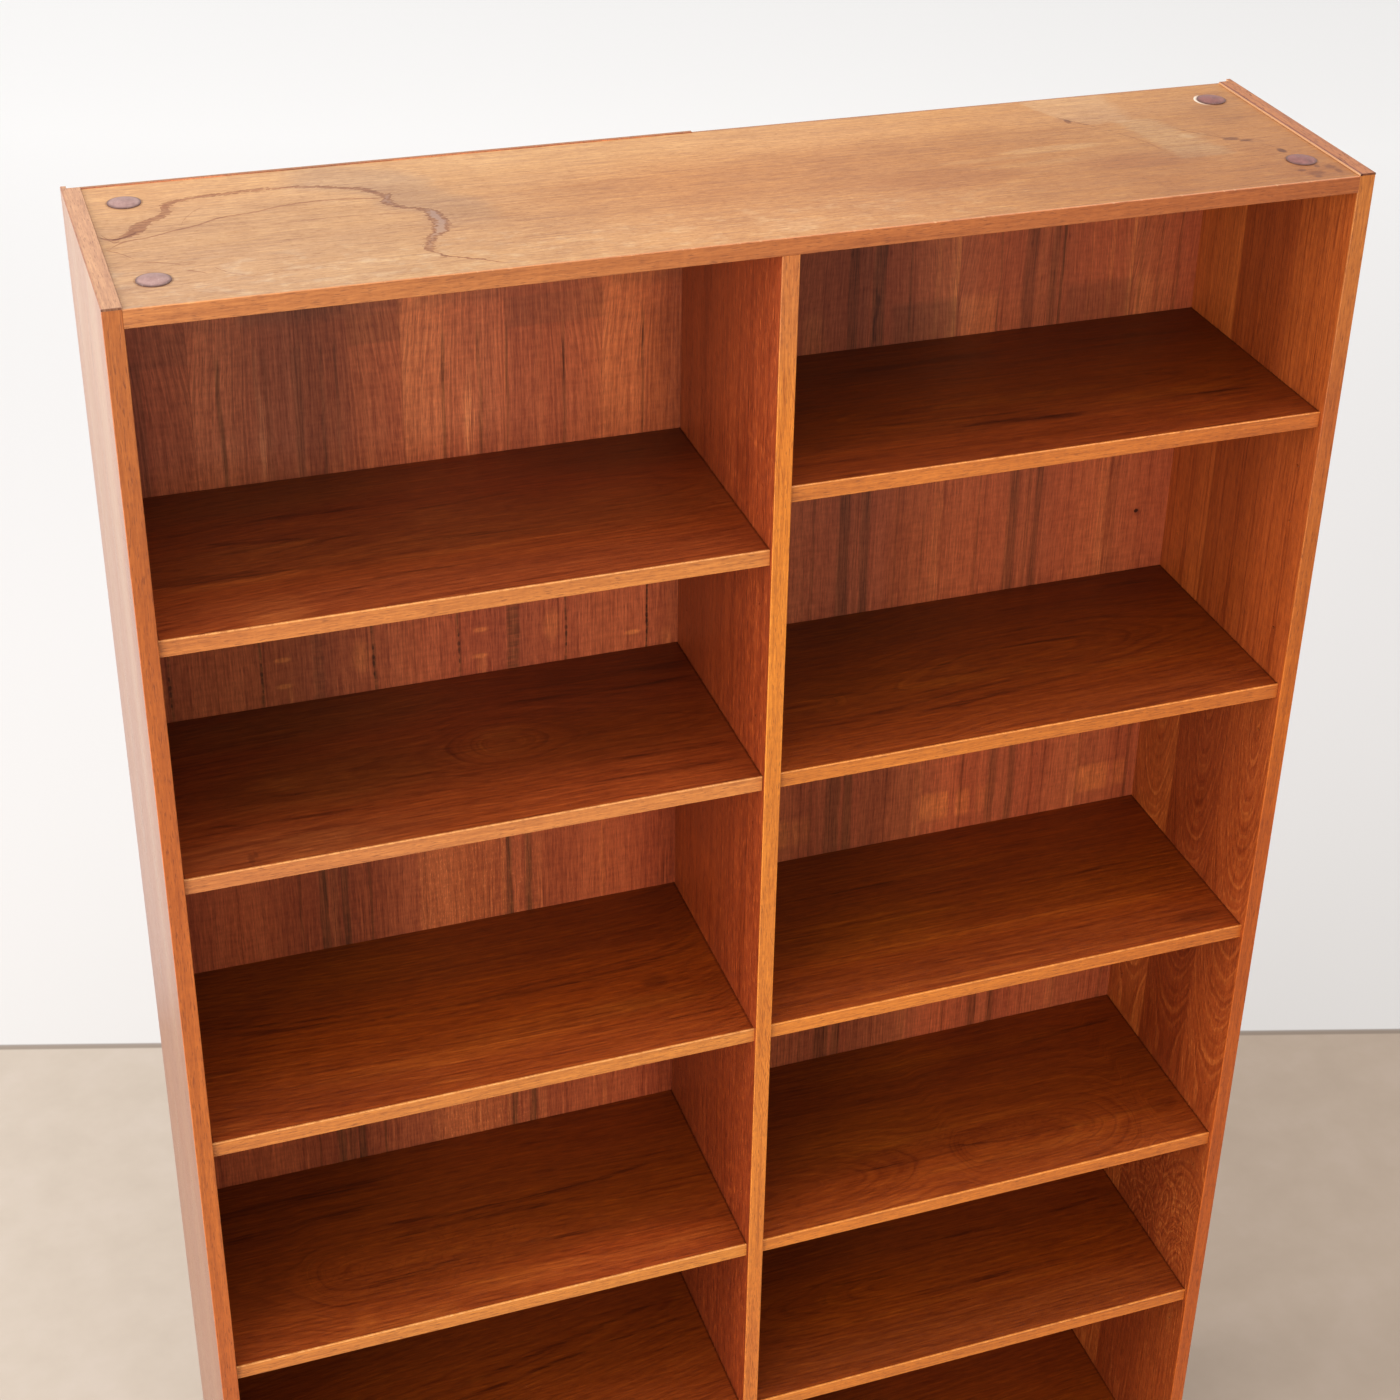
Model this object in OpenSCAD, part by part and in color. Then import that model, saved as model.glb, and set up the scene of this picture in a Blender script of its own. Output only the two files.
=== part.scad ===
// Two-bay bookcase: veneered boards with solid edge strips, a fixed shelf at
// mid height in each bay, and four adjustable shelves in each bay that sit on
// hidden support wires and slide out to the front.
// Frame: origin on the floor at the middle of the case, +X to the right,
// -Y to the front, +Z up. Millimetres.

/* [Case] */
// Width over the two sides
case_w = 1200; // [1000:10:1400]
// Depth of the sides, front edge to back edge
case_d = 288; // [280:1:330]
// Height of the sides
case_h = 1880; // [1860:5:1980]
// Thickness of the boards
board_t = 17; // [17:0.5:20]
// Thickness of the solid edge strips
strip_t = 2; // [1.5:0.5:3]
// Chamfer on the front corners of the edge strips
strip_chamfer = 0.5; // [0.2:0.1:0.8]
// How far the sides stand above the top board
side_proud = 2.2; // [1:0.1:4]
// Height of the plinth, floor to the bottom board
plinth_h = 59.5; // [45:0.5:80]
// How far the plinth is set back from the front
plinth_setback = 30; // [20:1:50]

/* [Shelves] */
// How far the shelves are set back from the front
shelf_setback = 5.8; // [3:0.1:12]
// Side clearance at each end of an adjustable shelf
shelf_gap = 0.6; // [0.5:0.1:1.5]
// Height of the middle of the fixed shelves
fixed_z = 965.5; // [945:0.5:975]
// Left bay, first shelf from the top: pin holes above the fixed shelf
left_1_step = 9; // [8:1:10]
// Left bay, second shelf
left_2_step = 5; // [4:1:6]
// Left bay, third shelf: pin holes above the bottom board
left_3_step = 9; // [8:1:10]
// Left bay, fourth shelf
left_4_step = 5; // [4:1:6]
// Right bay, first shelf from the top: pin holes above the fixed shelf
right_1_step = 10; // [8:1:10]
// Right bay, second shelf
right_2_step = 5; // [4:1:6]
// Right bay, third shelf: pin holes above the bottom board
right_3_step = 9; // [8:1:10]
// Right bay, fourth shelf
right_4_step = 5; // [4:1:6]

/* [Shelf supports] */
// Distance between pin holes, one above the other
hole_pitch = 65; // [60:1:65]
// Front pin holes, from the front edge
hole_front = 32; // [28:1:40]
// Distance from the front to the rear pin hole
hole_span = 220; // [200:1:222]
// Pin hole diameter
hole_dia = 3.2; // [3.1:0.1:3.4]
// Pin hole depth
hole_depth = 8; // [6:0.5:8]
// Support wire diameter
wire_dia = 3; // [2.6:0.1:3]
// Groove in the shelf end that takes the wire: height
groove_h = 3.6; // [3.4:0.1:5]
// Groove depth
groove_depth = 8; // [7:0.5:12]

/* [Back] */
// Thickness of the back panels
back_t = 4; // [3:0.5:5]
// Depth of the rebate in the sides
rebate_d = 6; // [5:0.5:9]
// Wood left outside the rebate
rebate_tongue = 5; // [4:0.5:8]

/* [Corner fittings] */
// Fitting centre, in from the outer face of the side
cam_in = 50; // [48:1:56]
// Front fitting, from the front edge
cam_front = 55; // [50:1:70]
// Rear fitting, from the back edge
cam_back = 50; // [46:1:60]
// Cover cap diameter
cap_dia = 30; // [28:1:34]
// Height of the domed cap
cap_h = 3.2; // [2.4:0.1:4]

/* [Hidden] */
$fn = 48;
eps = 0.01;
fit = 0.1;                       // clearance round dowels and fittings

hw = case_w / 2;
yf = -case_d / 2;                // front plane
yb = case_d / 2;                 // back edge of the sides
yi = yb - rebate_d;              // front face of the back panels
xi = hw - board_t;               // inner face of the right side
xd = board_t / 2;                // right face of the divider
top_z1 = case_h - side_proud;    // upper face of the top board
top_z0 = top_z1 - board_t;
bot_z0 = plinth_h;
bot_z1 = bot_z0 + board_t;
bot_c = bot_z0 + board_t / 2;
top_c = top_z0 + board_t / 2;
shelf_y0 = yf + shelf_setback;   // front of the shelves
shelf_y1 = yi - 1;               // back of an adjustable shelf
wire_yf = yf + hole_front;
wire_yb = wire_yf + hole_span;
wire_in = 4.5;                   // wire's run, in from the panel's face
cam_ys = [yf + cam_front, yb - cam_back];
cam_r = 12.5;
cam_depth = 13;
dowel_r = 4;
pair_ys = [-80, 85];             // dowel pairs in divider and fixed shelves
corner_ys = [-57, 62];           // dowel pairs in the corners
hole_zs = [for (base = [bot_c, fixed_z]) for (s = [4, 5, 6, 8, 9, 10]) base + s * hole_pitch];
nail_zs = [110, 400, 690, 980, 1270, 1560, 1830];
nail_xs = [140, 300, 460];
nail_l = 20;

left_zs = [fixed_z + left_1_step * hole_pitch, fixed_z + left_2_step * hole_pitch,
           bot_c + left_3_step * hole_pitch, bot_c + left_4_step * hole_pitch];
right_zs = [fixed_z + right_1_step * hole_pitch, fixed_z + right_2_step * hole_pitch,
            bot_c + right_3_step * hole_pitch, bot_c + right_4_step * hole_pitch];

veneer = "#8a4a26";
veneer_dark = "#6e3319";
veneer_top = "#d39a5e";
strip = "#c87a3c";

// A box given by its limits
module block(x, y, z) {
    translate([x[0], y[0], z[0]]) cube([x[1] - x[0], y[1] - y[0], z[1] - z[0]]);
}

// A round hole or rod along X from x0 to x1
module rod_x(x0, x1, y, z, r) {
    translate([x0, y, z]) rotate([0, 90, 0]) cylinder(r = r, h = x1 - x0);
}

module rod_y(y0, y1, x, z, r) {
    translate([x, y0, z]) rotate([-90, 0, 0]) cylinder(r = r, h = y1 - y0);
}

// Edge strip lying along X: front corners chamfered
module strip_x(x0, x1, y0, z0, z1) {
    c = strip_chamfer;
    translate([x0, 0, 0]) rotate([90, 0, 90])
        linear_extrude(height = x1 - x0)
            polygon([[y0 + strip_t, z0], [y0 + strip_t, z1], [y0 + c, z1],
                     [y0, z1 - c], [y0, z0 + c], [y0 + c, z0]]);
}

// Edge strip standing along Z
module strip_z(x0, x1, y0, z0, z1) {
    c = strip_chamfer;
    translate([0, 0, z0]) linear_extrude(height = z1 - z0)
        polygon([[x0, y0 + strip_t], [x0, y0 + c], [x0 + c, y0],
                 [x1 - c, y0], [x1, y0 + c], [x1, y0 + strip_t]]);
}

// Pin holes drilled towards +X from the plane x = face
module pin_holes(face) {
    for (z = hole_zs, y = [wire_yf, wire_yb])
        rod_x(face, face + hole_depth, y, z, hole_dia / 2);
}

// Nail holes along +Y into a board's rear edge
module nail_hole(x, z) {
    rod_y(yi - (nail_l - back_t) - 0.5, yi + 1, x, z, 0.75);
}

// Side panel, drawn on the right; the left one is its mirror image
module side_panel() {
    difference() {
        block([xi, hw], [yf + strip_t, yb], [0, case_h - strip_t]);
        block([xi - 1, hw - rebate_tongue], [yi, yb + 1], [-1, case_h]);
        pin_holes(xi);
        for (z = [top_c, bot_c], y = cam_ys) rod_x(xi - 1, xi + 11.5, y, z, 2.6);
        for (z = [top_c, bot_c], y = corner_ys) rod_x(xi - 1, xi + 11.5, y, z, dowel_r + fit);
        for (y = pair_ys) rod_x(xi - 1, xi + 11.5, y, fixed_z, dowel_r + fit);
        for (z = nail_zs) nail_hole(xi + 6, z);
    }
}

module side_front_strip() {
    strip_z(xi, hw, yf, 0, case_h - strip_t);
}

// Laps over the front strip's top end
module side_top_strip() {
    c = strip_chamfer;
    z0 = case_h - strip_t;
    difference() {
        translate([0, yb, 0]) rotate([90, 0, 0]) linear_extrude(height = yb - yf)
            polygon([[xi, z0], [hw, z0], [hw, case_h - c],
                     [hw - c, case_h], [xi + c, case_h], [xi, case_h - c]]);
        block([xi - 1, hw - rebate_tongue], [yi, yb + 1], [case_h - strip_t - 1, case_h + 1]);
    }
}

module left_side() { color(veneer) mirror([1, 0, 0]) side_panel(); }
module right_side() { color(veneer) side_panel(); }
module left_side_front_strip() { color(strip) mirror([1, 0, 0]) side_front_strip(); }
module right_side_front_strip() { color(strip) side_front_strip(); }
module left_side_top_strip() { color(strip) mirror([1, 0, 0]) side_top_strip(); }
module right_side_top_strip() { color(strip) side_top_strip(); }

module centre_divider() {
    color(veneer) difference() {
        block([-xd, xd], [yf + strip_t, yi], [bot_z1, top_z0]);
        pin_holes(xd - hole_depth);
        translate([-2 * xd + hole_depth, 0, 0]) pin_holes(xd - hole_depth);
        for (y = pair_ys) {
            rod_x(xd - 8, xd + 1, y, fixed_z, dowel_r + fit);
            rod_x(-xd - 1, -xd + 8, y, fixed_z, dowel_r + fit);
            translate([0, y, top_z0 - 19]) cylinder(r = dowel_r + fit, h = 20);
            translate([0, y, bot_z1 - 1]) cylinder(r = dowel_r + fit, h = 20);
        }
        for (z = nail_zs, x = [-4.2, 4.2]) nail_hole(x, z);
    }
}

module divider_front_strip() { color(strip) strip_z(-xd, xd, yf, bot_z1, top_z0); }

// Cam bores and bolt holes at both ends of the top or bottom board; they open
// upwards at z = face when dir is 1, downwards when it is -1
module cam_cuts(face, mid, dir) {
    for (sx = [-1, 1], y = cam_ys) {
        translate([sx * (hw - cam_in), y, dir > 0 ? face - cam_depth : face - 1])
            cylinder(r = cam_r, h = cam_depth + 1);
        if (sx > 0) rod_x(hw - cam_in, xi + 1, y, mid, 4);
        else rod_x(-xi - 1, -hw + cam_in, y, mid, 4);
    }
    for (y = corner_ys) {
        rod_x(xi - 19, xi + 1, y, mid, dowel_r + fit);
        rod_x(-xi - 1, -xi + 19, y, mid, dowel_r + fit);
    }
}

module top_board() {
    color(veneer_top) difference() {
        block([-xi, xi], [yf + strip_t, yi], [top_z0, top_z1]);
        cam_cuts(top_z1, top_c, 1);
        for (y = pair_ys) translate([0, y, top_z0 - 1]) cylinder(r = dowel_r + fit, h = 12);
        for (x = nail_xs, s = [-1, 1]) nail_hole(s * x, top_c);
    }
}

module top_board_front_strip() { color(strip) strip_x(-xi, xi, yf, top_z0, top_z1); }

module bottom_board() {
    color(veneer_dark) difference() {
        block([-xi, xi], [yf + strip_t, yi], [bot_z0, bot_z1]);
        cam_cuts(bot_z0, bot_c, -1);
        for (y = pair_ys) translate([0, y, bot_z1 - 11]) cylinder(r = dowel_r + fit, h = 12);
        plinth_dowel_holes();
        for (x = nail_xs, s = [-1, 1]) nail_hole(s * x, bot_c);
    }
}

module bottom_board_front_strip() { color(strip) strip_x(-xi, xi, yf, bot_z0, bot_z1); }

// Fixed shelf of the right bay; the left one is its mirror image
module fixed_shelf() {
    difference() {
        block([xd, xi], [shelf_y0 + strip_t, yi], [fixed_z - board_t / 2, fixed_z + board_t / 2]);
        for (y = pair_ys) {
            rod_x(xi - 19, xi + 1, y, fixed_z, dowel_r + fit);
            rod_x(xd - 1, xd + 19, y, fixed_z, dowel_r + fit);
        }
        for (x = nail_xs) nail_hole(x, fixed_z);
    }
}

module fixed_shelf_strip() {
    strip_x(xd, xi, shelf_y0, fixed_z - board_t / 2, fixed_z + board_t / 2);
}

module left_fixed_shelf() { color(veneer_dark) mirror([1, 0, 0]) fixed_shelf(); }
module right_fixed_shelf() { color(veneer_dark) fixed_shelf(); }
module left_fixed_shelf_strip() { color(strip) mirror([1, 0, 0]) fixed_shelf_strip(); }
module right_fixed_shelf_strip() { color(strip) fixed_shelf_strip(); }

// Adjustable shelf of the right bay with its middle at height z. The groove in
// each end takes the support wire: it is open at the back and stops short of
// the front, so that the shelf slides on from the front.
module adj_shelf(z) {
    x0 = xd + shelf_gap;
    x1 = xi - shelf_gap;
    g1 = wire_dia / 2 + 0.05;
    g0 = g1 - groove_h;
    gy = wire_yf - wire_dia / 2 - 0.5;
    difference() {
        block([x0, x1], [shelf_y0 + strip_t, shelf_y1], [z - board_t / 2, z + board_t / 2]);
        block([x0 - 1, x0 + groove_depth], [gy, shelf_y1 + 1], [z + g0, z + g1]);
        block([x1 - groove_depth, x1 + 1], [gy, shelf_y1 + 1], [z + g0, z + g1]);
    }
}

module adj_shelf_strip(z) {
    strip_x(xd + shelf_gap, xi - shelf_gap, shelf_y0, z - board_t / 2, z + board_t / 2);
}

module right_shelf(i) { color(veneer_dark) adj_shelf(right_zs[i]); }
module right_shelf_strip(i) { color(strip) adj_shelf_strip(right_zs[i]); }
module left_shelf(i) { color(veneer_dark) mirror([1, 0, 0]) adj_shelf(left_zs[i]); }
module left_shelf_strip(i) { color(strip) mirror([1, 0, 0]) adj_shelf_strip(left_zs[i]); }

// One support wire at height z beside the face x = face of a panel; dir is the
// way from the panel into the bay
module support_wire(face, dir, z) {
    r = wire_dia / 2;
    b = wire_dia;                               // bend radius of the centre line
    tip = face - dir * (hole_depth - 0.5);
    run = face + dir * wire_in;
    corner = run - dir * b;
    for (s = [-1, 1]) {
        y = s < 0 ? wire_yf : wire_yb;
        if (dir > 0) rod_x(tip, corner, y, z, r);
        else rod_x(corner, tip, y, z, r);
        translate([corner, y - s * b, z])
            rotate([0, 0, dir > 0 ? (s < 0 ? -90 : 0) : (s < 0 ? 180 : 90)])
                rotate_extrude(angle = 90) translate([b, 0]) circle(r = r);
    }
    rod_y(wire_yf + b, wire_yb - b, run, z, r);
}

module bay_wires(face_a, face_b, zs) {
    for (z = zs) {
        support_wire(face_a, 1, z);
        support_wire(face_b, -1, z);
    }
}

module left_bay_support_wires() { color("#9a9a98") bay_wires(-xi, -xd, left_zs); }
module right_bay_support_wires() { color("#9a9a98") bay_wires(xd, xi, right_zs); }

// Back panels: they lie in the sides' rebates and butt on the divider
module back_panel(x0, x1, z1) {
    difference() {
        block([x0, x1], [yi, yi + back_t], [bot_z0 + 0.5, z1]);
        for (z = nail_zs, x = [xi + 6, 4.2, -4.2, -xi - 6])
            if (x > x0 && x < x1) rod_y(yi - 1, yi + back_t + 1, x, z, 0.75);
        for (z = [top_c, bot_c, fixed_z], x = nail_xs, s = [-1, 1])
            if (s * x > x0 && s * x < x1) rod_y(yi - 1, yi + back_t + 1, s * x, z, 0.75);
    }
}

module left_back_panel() { color(veneer) back_panel(-hw + rebate_tongue + 0.5, -0.2, top_z1 + 0.8); }
module right_back_panel() { color(veneer) back_panel(0.2, hw - rebate_tongue - 0.5, top_z1 - 0.6); }

module nail(x, z) {
    rod_y(yi + back_t - nail_l, yi + back_t, x, z, 0.7);
    rod_y(yi + back_t, yi + back_t + 0.6, x, z, 1.8);
}

module back_panel_nails() {
    color("#8c8c8a") {
        for (z = nail_zs, x = [xi + 6, 4.2, -4.2, -xi - 6]) nail(x, z);
        for (z = [top_c, bot_c, fixed_z], x = nail_xs, s = [-1, 1]) nail(s * x, z);
    }
}

// Plinth
plinth_xs = [-400, 0, 400];
plinth_yf = yf + plinth_setback;
plinth_ys = [plinth_yf + board_t / 2, yi - board_t / 2];

module plinth_dowel_holes() {
    for (x = plinth_xs, y = plinth_ys)
        translate([x, y, bot_z0 - 19]) cylinder(r = 3 + fit, h = 27);
}

module plinth_front() {
    color(veneer) difference() {
        block([-xi, xi], [plinth_yf, plinth_yf + board_t], [0, bot_z0]);
        plinth_dowel_holes();
    }
}

module plinth_rear_rail() {
    color(veneer) difference() {
        block([-xi, xi], [yi - board_t, yi], [0, bot_z0]);
        plinth_dowel_holes();
    }
}

// Corner fittings: a cam housing in its bore, with a hole for the bolt's head,
// and a bolt screwed into the side
module cam_housing(x, y, z0, mid, sx, recess_up) {
    h = cam_depth - 0.5;
    difference() {
        translate([x, y, z0]) cylinder(r = cam_r - fit, h = h);
        if (sx > 0) rod_x(x - 3, x + cam_r + 1, y, mid, 4.1);
        else rod_x(x - cam_r - 1, x + 3, y, mid, 4.1);
        if (recess_up) translate([x, y, z0 + h - 3.6]) cylinder(r = 2.5, h = 4.6);
        else translate([x, y, z0 - 1]) cylinder(r = 2.5, h = 4.6);
    }
}

module cam_bolt(y, z, sx) {
    a = hw - cam_in;
    if (sx > 0) {
        rod_x(a - 1, a + 3, y, z, 3.8);
        rod_x(a + 3, xi, y, z, 3);
        rod_x(xi, xi + 11, y, z, 2.5);
    } else {
        rod_x(-a - 3, -a + 1, y, z, 3.8);
        rod_x(-xi, -a - 3, y, z, 3);
        rod_x(-xi - 11, -xi, y, z, 2.5);
    }
}

module top_cam_housings() {
    color("#b5b3ae") for (sx = [-1, 1], y = cam_ys)
        cam_housing(sx * (hw - cam_in), y, top_z1 - cam_depth + fit, top_c, sx, true);
}

module bottom_cam_housings() {
    color("#b5b3ae") for (sx = [-1, 1], y = cam_ys)
        cam_housing(sx * (hw - cam_in), y, bot_z0 + 0.5 - fit, bot_c, sx, false);
}

module top_cam_bolts() { color("#9a9a98") for (sx = [-1, 1], y = cam_ys) cam_bolt(y, top_c, sx); }
module bottom_cam_bolts() { color("#9a9a98") for (sx = [-1, 1], y = cam_ys) cam_bolt(y, bot_c, sx); }

// Domed cover cap with a pin that plugs into the cam housing
module cover_cap() {
    rim = 0.7;
    rise = cap_h - rim;
    r = cap_dia / 2;
    big = (r * r + rise * rise) / (2 * rise);
    cylinder(r = r, h = rim, $fn = 96);
    intersection() {
        translate([0, 0, cap_h - big]) sphere(r = big, $fn = 96);
        translate([0, 0, rim - 0.2]) cylinder(r = r, h = cap_h, $fn = 96);
    }
    translate([0, 0, -3.4]) cylinder(r = 2.4, h = 3.5);
}

module cover_caps() {
    color("#8f7674") for (sx = [-1, 1], y = cam_ys)
        translate([sx * (hw - cam_in), y, top_z1]) cover_cap();
}

// Dowels of the carcass
module dowel_x(x0, x1, y, z) { rod_x(x0, x1, y, z, dowel_r); }

module carcass_dowels() {
    color("#d8b98a") {
        for (s = [-1, 1]) {
            for (z = [top_c, bot_c], y = corner_ys)
                if (s > 0) dowel_x(xi - 18, xi + 11, y, z); else dowel_x(-xi - 11, -xi + 18, y, z);
            for (y = pair_ys)
                if (s > 0) {
                    dowel_x(xi - 18, xi + 11, y, fixed_z);
                    dowel_x(xd - 7.5, xd + 18, y, fixed_z);
                } else {
                    dowel_x(-xi - 11, -xi + 18, y, fixed_z);
                    dowel_x(-xd - 18, -xd + 7.5, y, fixed_z);
                }
        }
        for (y = pair_ys) {
            translate([0, y, top_z0 - 18]) cylinder(r = dowel_r, h = 28.5);
            translate([0, y, bot_z1 - 10.5]) cylinder(r = dowel_r, h = 28.5);
        }
        for (x = plinth_xs, y = plinth_ys)
            translate([x, y, bot_z0 - 18]) cylinder(r = 3, h = 25.5);
    }
}

left_side();
right_side();
centre_divider();
top_board();
bottom_board();
left_fixed_shelf();
right_fixed_shelf();
left_side_front_strip();
right_side_front_strip();
left_side_top_strip();
right_side_top_strip();
divider_front_strip();
top_board_front_strip();
bottom_board_front_strip();
left_fixed_shelf_strip();
right_fixed_shelf_strip();
left_back_panel();
right_back_panel();
back_panel_nails();
plinth_front();
plinth_rear_rail();
cover_caps();
top_cam_housings();
top_cam_bolts();
bottom_cam_housings();
bottom_cam_bolts();
carcass_dowels();
left_bay_support_wires();
right_bay_support_wires();
left_shelf(0);  // left_shelf_1
left_shelf_strip(0);  // left_shelf_1_strip
left_shelf(1);  // left_shelf_2
left_shelf_strip(1);  // left_shelf_2_strip
left_shelf(2);  // left_shelf_3
left_shelf_strip(2);  // left_shelf_3_strip
left_shelf(3);  // left_shelf_4
left_shelf_strip(3);  // left_shelf_4_strip
right_shelf(0);  // right_shelf_1
right_shelf_strip(0);  // right_shelf_1_strip
right_shelf(1);  // right_shelf_2
right_shelf_strip(1);  // right_shelf_2_strip
right_shelf(2);  // right_shelf_3
right_shelf_strip(2);  // right_shelf_3_strip
right_shelf(3);  // right_shelf_4
right_shelf_strip(3);  // right_shelf_4_strip
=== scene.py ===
import math

import bpy
from mathutils import Matrix, Vector

# ------------------------------------------------------------------ camera
cam_data = bpy.data.cameras.new("camera")
cam = bpy.data.objects.new("camera", cam_data)
bpy.context.scene.collection.objects.link(cam)
bpy.context.scene.camera = cam
cam_data.sensor_fit = "HORIZONTAL"
cam_data.sensor_width = 36.0
cam_data.lens = 64.96
cam_data.shift_x = -0.0677
cam_data.shift_y = -0.0639
cam_data.clip_start = 0.05
cam_data.clip_end = 60.0
right = Vector((0.93663, -0.34864, 0.03429))
down = Vector((-0.14806, -0.48268, -0.86319))
ahead = Vector((0.31749, 0.80341, -0.50371))
cam.matrix_world = Matrix((
    (right.x, -down.x, -ahead.x, -0.7595),
    (right.y, -down.y, -ahead.y, -2.1074),
    (right.z, -down.z, -ahead.z, 2.7223),
    (0, 0, 0, 1)))

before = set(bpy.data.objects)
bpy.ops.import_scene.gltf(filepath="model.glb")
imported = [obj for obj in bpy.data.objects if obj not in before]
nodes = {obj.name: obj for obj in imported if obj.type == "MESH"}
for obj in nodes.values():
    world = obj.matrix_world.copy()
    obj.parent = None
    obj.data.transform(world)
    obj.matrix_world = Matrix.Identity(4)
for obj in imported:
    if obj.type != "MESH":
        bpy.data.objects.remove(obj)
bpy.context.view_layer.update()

bpy.context.scene.view_settings.view_transform = "Standard"


# ------------------------------------------------------------------ node helpers
class Net:
    """A material's node tree, with one short call for each kind of node."""

    def __init__(self, name):
        self.mat = bpy.data.materials.new(name)
        self.mat.use_nodes = True
        self.t = self.mat.node_tree
        self.t.nodes.clear()
        self.out = self.t.nodes.new("ShaderNodeOutputMaterial")
        self.bsdf = self.t.nodes.new("ShaderNodeBsdfPrincipled")
        self.t.links.new(self.bsdf.outputs[0], self.out.inputs[0])

    def put(self, socket, value):
        if isinstance(value, bpy.types.NodeSocket):
            self.t.links.new(value, socket)
        elif isinstance(value, (tuple, list)) and len(value) == 3 and socket.type == "RGBA":
            socket.default_value = (*value, 1.0)
        else:
            socket.default_value = value

    def math(self, op, a, b=None, c=None, clamp=False):
        n = self.t.nodes.new("ShaderNodeMath")
        n.operation = op
        n.use_clamp = clamp
        for s, v in zip(n.inputs, (a, b, c)):
            if v is not None:
                self.put(s, v)
        return n.outputs[0]

    def add(self, a, b): return self.math("ADD", a, b)
    def sub(self, a, b): return self.math("SUBTRACT", a, b)
    def mul(self, a, b): return self.math("MULTIPLY", a, b)
    def abs(self, a): return self.math("ABSOLUTE", a)
    def low(self, a, b): return self.math("MINIMUM", a, b)
    def high(self, a, b): return self.math("MAXIMUM", a, b)

    def hyp(self, a, b):
        return self.math("SQRT", self.add(self.mul(a, a), self.mul(b, b)))

    def vec(self, op, a, b=None, scale=None):
        n = self.t.nodes.new("ShaderNodeVectorMath")
        n.operation = op
        self.put(n.inputs[0], a)
        if b is not None:
            self.put(n.inputs[1], b)
        if scale is not None:
            self.put(n.inputs["Scale"], scale)
        return n.outputs["Value"] if op in ("LENGTH", "DOT_PRODUCT", "DISTANCE") else n.outputs["Vector"]

    def xyz(self, v):
        n = self.t.nodes.new("ShaderNodeSeparateXYZ")
        self.put(n.inputs[0], v)
        return n.outputs[0], n.outputs[1], n.outputs[2]

    def join(self, x, y, z):
        n = self.t.nodes.new("ShaderNodeCombineXYZ")
        for s, v in zip(n.inputs, (x, y, z)):
            self.put(s, v)
        return n.outputs[0]

    def span(self, v, a, b, c=0.0, d=1.0, smooth=False):
        """v from a..b to c..d, held at the ends."""
        n = self.t.nodes.new("ShaderNodeMapRange")
        n.interpolation_type = "SMOOTHSTEP" if smooth else "LINEAR"
        n.clamp = True
        for s, x in zip(n.inputs, (v, a, b, c, d)):
            self.put(s, x)
        return n.outputs[0]

    def noise(self, v, detail=2.0, rough=0.5, warp=0.0, scale=1.0):
        n = self.t.nodes.new("ShaderNodeTexNoise")
        n.noise_dimensions = "3D"
        self.put(n.inputs["Vector"], v)
        n.inputs["Scale"].default_value = scale
        n.inputs["Detail"].default_value = detail
        n.inputs["Roughness"].default_value = rough
        n.inputs["Distortion"].default_value = warp
        return n.outputs[0]

    def rnd(self, v):
        n = self.t.nodes.new("ShaderNodeTexWhiteNoise")
        n.noise_dimensions = "3D"
        self.put(n.inputs["Vector"], v)
        return n.outputs["Value"]

    def ramp(self, fac, stops, mode="LINEAR"):
        n = self.t.nodes.new("ShaderNodeValToRGB")
        n.color_ramp.interpolation = mode
        e = n.color_ramp.elements
        while len(e) > 1:
            e.remove(e[-1])
        e[0].position, e[0].color = stops[0][0], (*stops[0][1], 1)
        for p, c in stops[1:]:
            x = e.new(p)
            x.color = (*c, 1)
        self.put(n.inputs[0], fac)
        return n.outputs[0]

    def mix(self, fac, a, b, mode="MIX"):
        n = self.t.nodes.new("ShaderNodeMix")
        n.data_type = "RGBA"
        n.blend_type = mode
        n.clamp_factor = True
        self.put(n.inputs[0], fac)
        self.put(n.inputs[6], a)
        self.put(n.inputs[7], b)
        return n.outputs[2]

    def curve(self, v, pts):
        """A smooth curve through (x, y) points, held at its two ends."""
        a, b = pts[0][0], pts[-1][0]
        c, d = min(p[1] for p in pts) - 1.0, max(p[1] for p in pts) + 1.0
        n = self.t.nodes.new("ShaderNodeFloatCurve")
        m = n.mapping
        cv = m.curves[0]
        q = [((x - a) / (b - a), (y - c) / (d - c)) for x, y in pts]
        while len(cv.points) < len(q):
            cv.points.new(0.5, 0.5)
        for p, xy in zip(cv.points, q):
            p.location = xy
        for p in cv.points:
            p.handle_type = "AUTO_CLAMPED"
        m.update()
        self.put(n.inputs["Value"], self.span(v, a, b))
        return self.span(n.outputs[0], 0.0, 1.0, c, d)

    def place(self, axes):
        """Object space in millimetres; returns it in the order named by axes."""
        c = self.t.nodes.new("ShaderNodeTexCoord").outputs["Object"]
        self.raw = self.vec("SCALE", c, scale=1000.0)
        self.x, self.y, self.z = self.xyz(self.raw)
        d = {"X": self.x, "Y": self.y, "Z": self.z}
        return tuple(d[a] for a in axes)

    def normal(self):
        n = self.t.nodes.new("ShaderNodeNewGeometry")
        return self.xyz(n.outputs["True Normal"])

    def bump(self, height, strength, distance):
        n = self.t.nodes.new("ShaderNodeBump")
        self.put(n.inputs["Height"], height)
        n.inputs["Strength"].default_value = strength
        n.inputs["Distance"].default_value = distance
        self.put(self.bsdf.inputs["Normal"], n.outputs[0])

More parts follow.
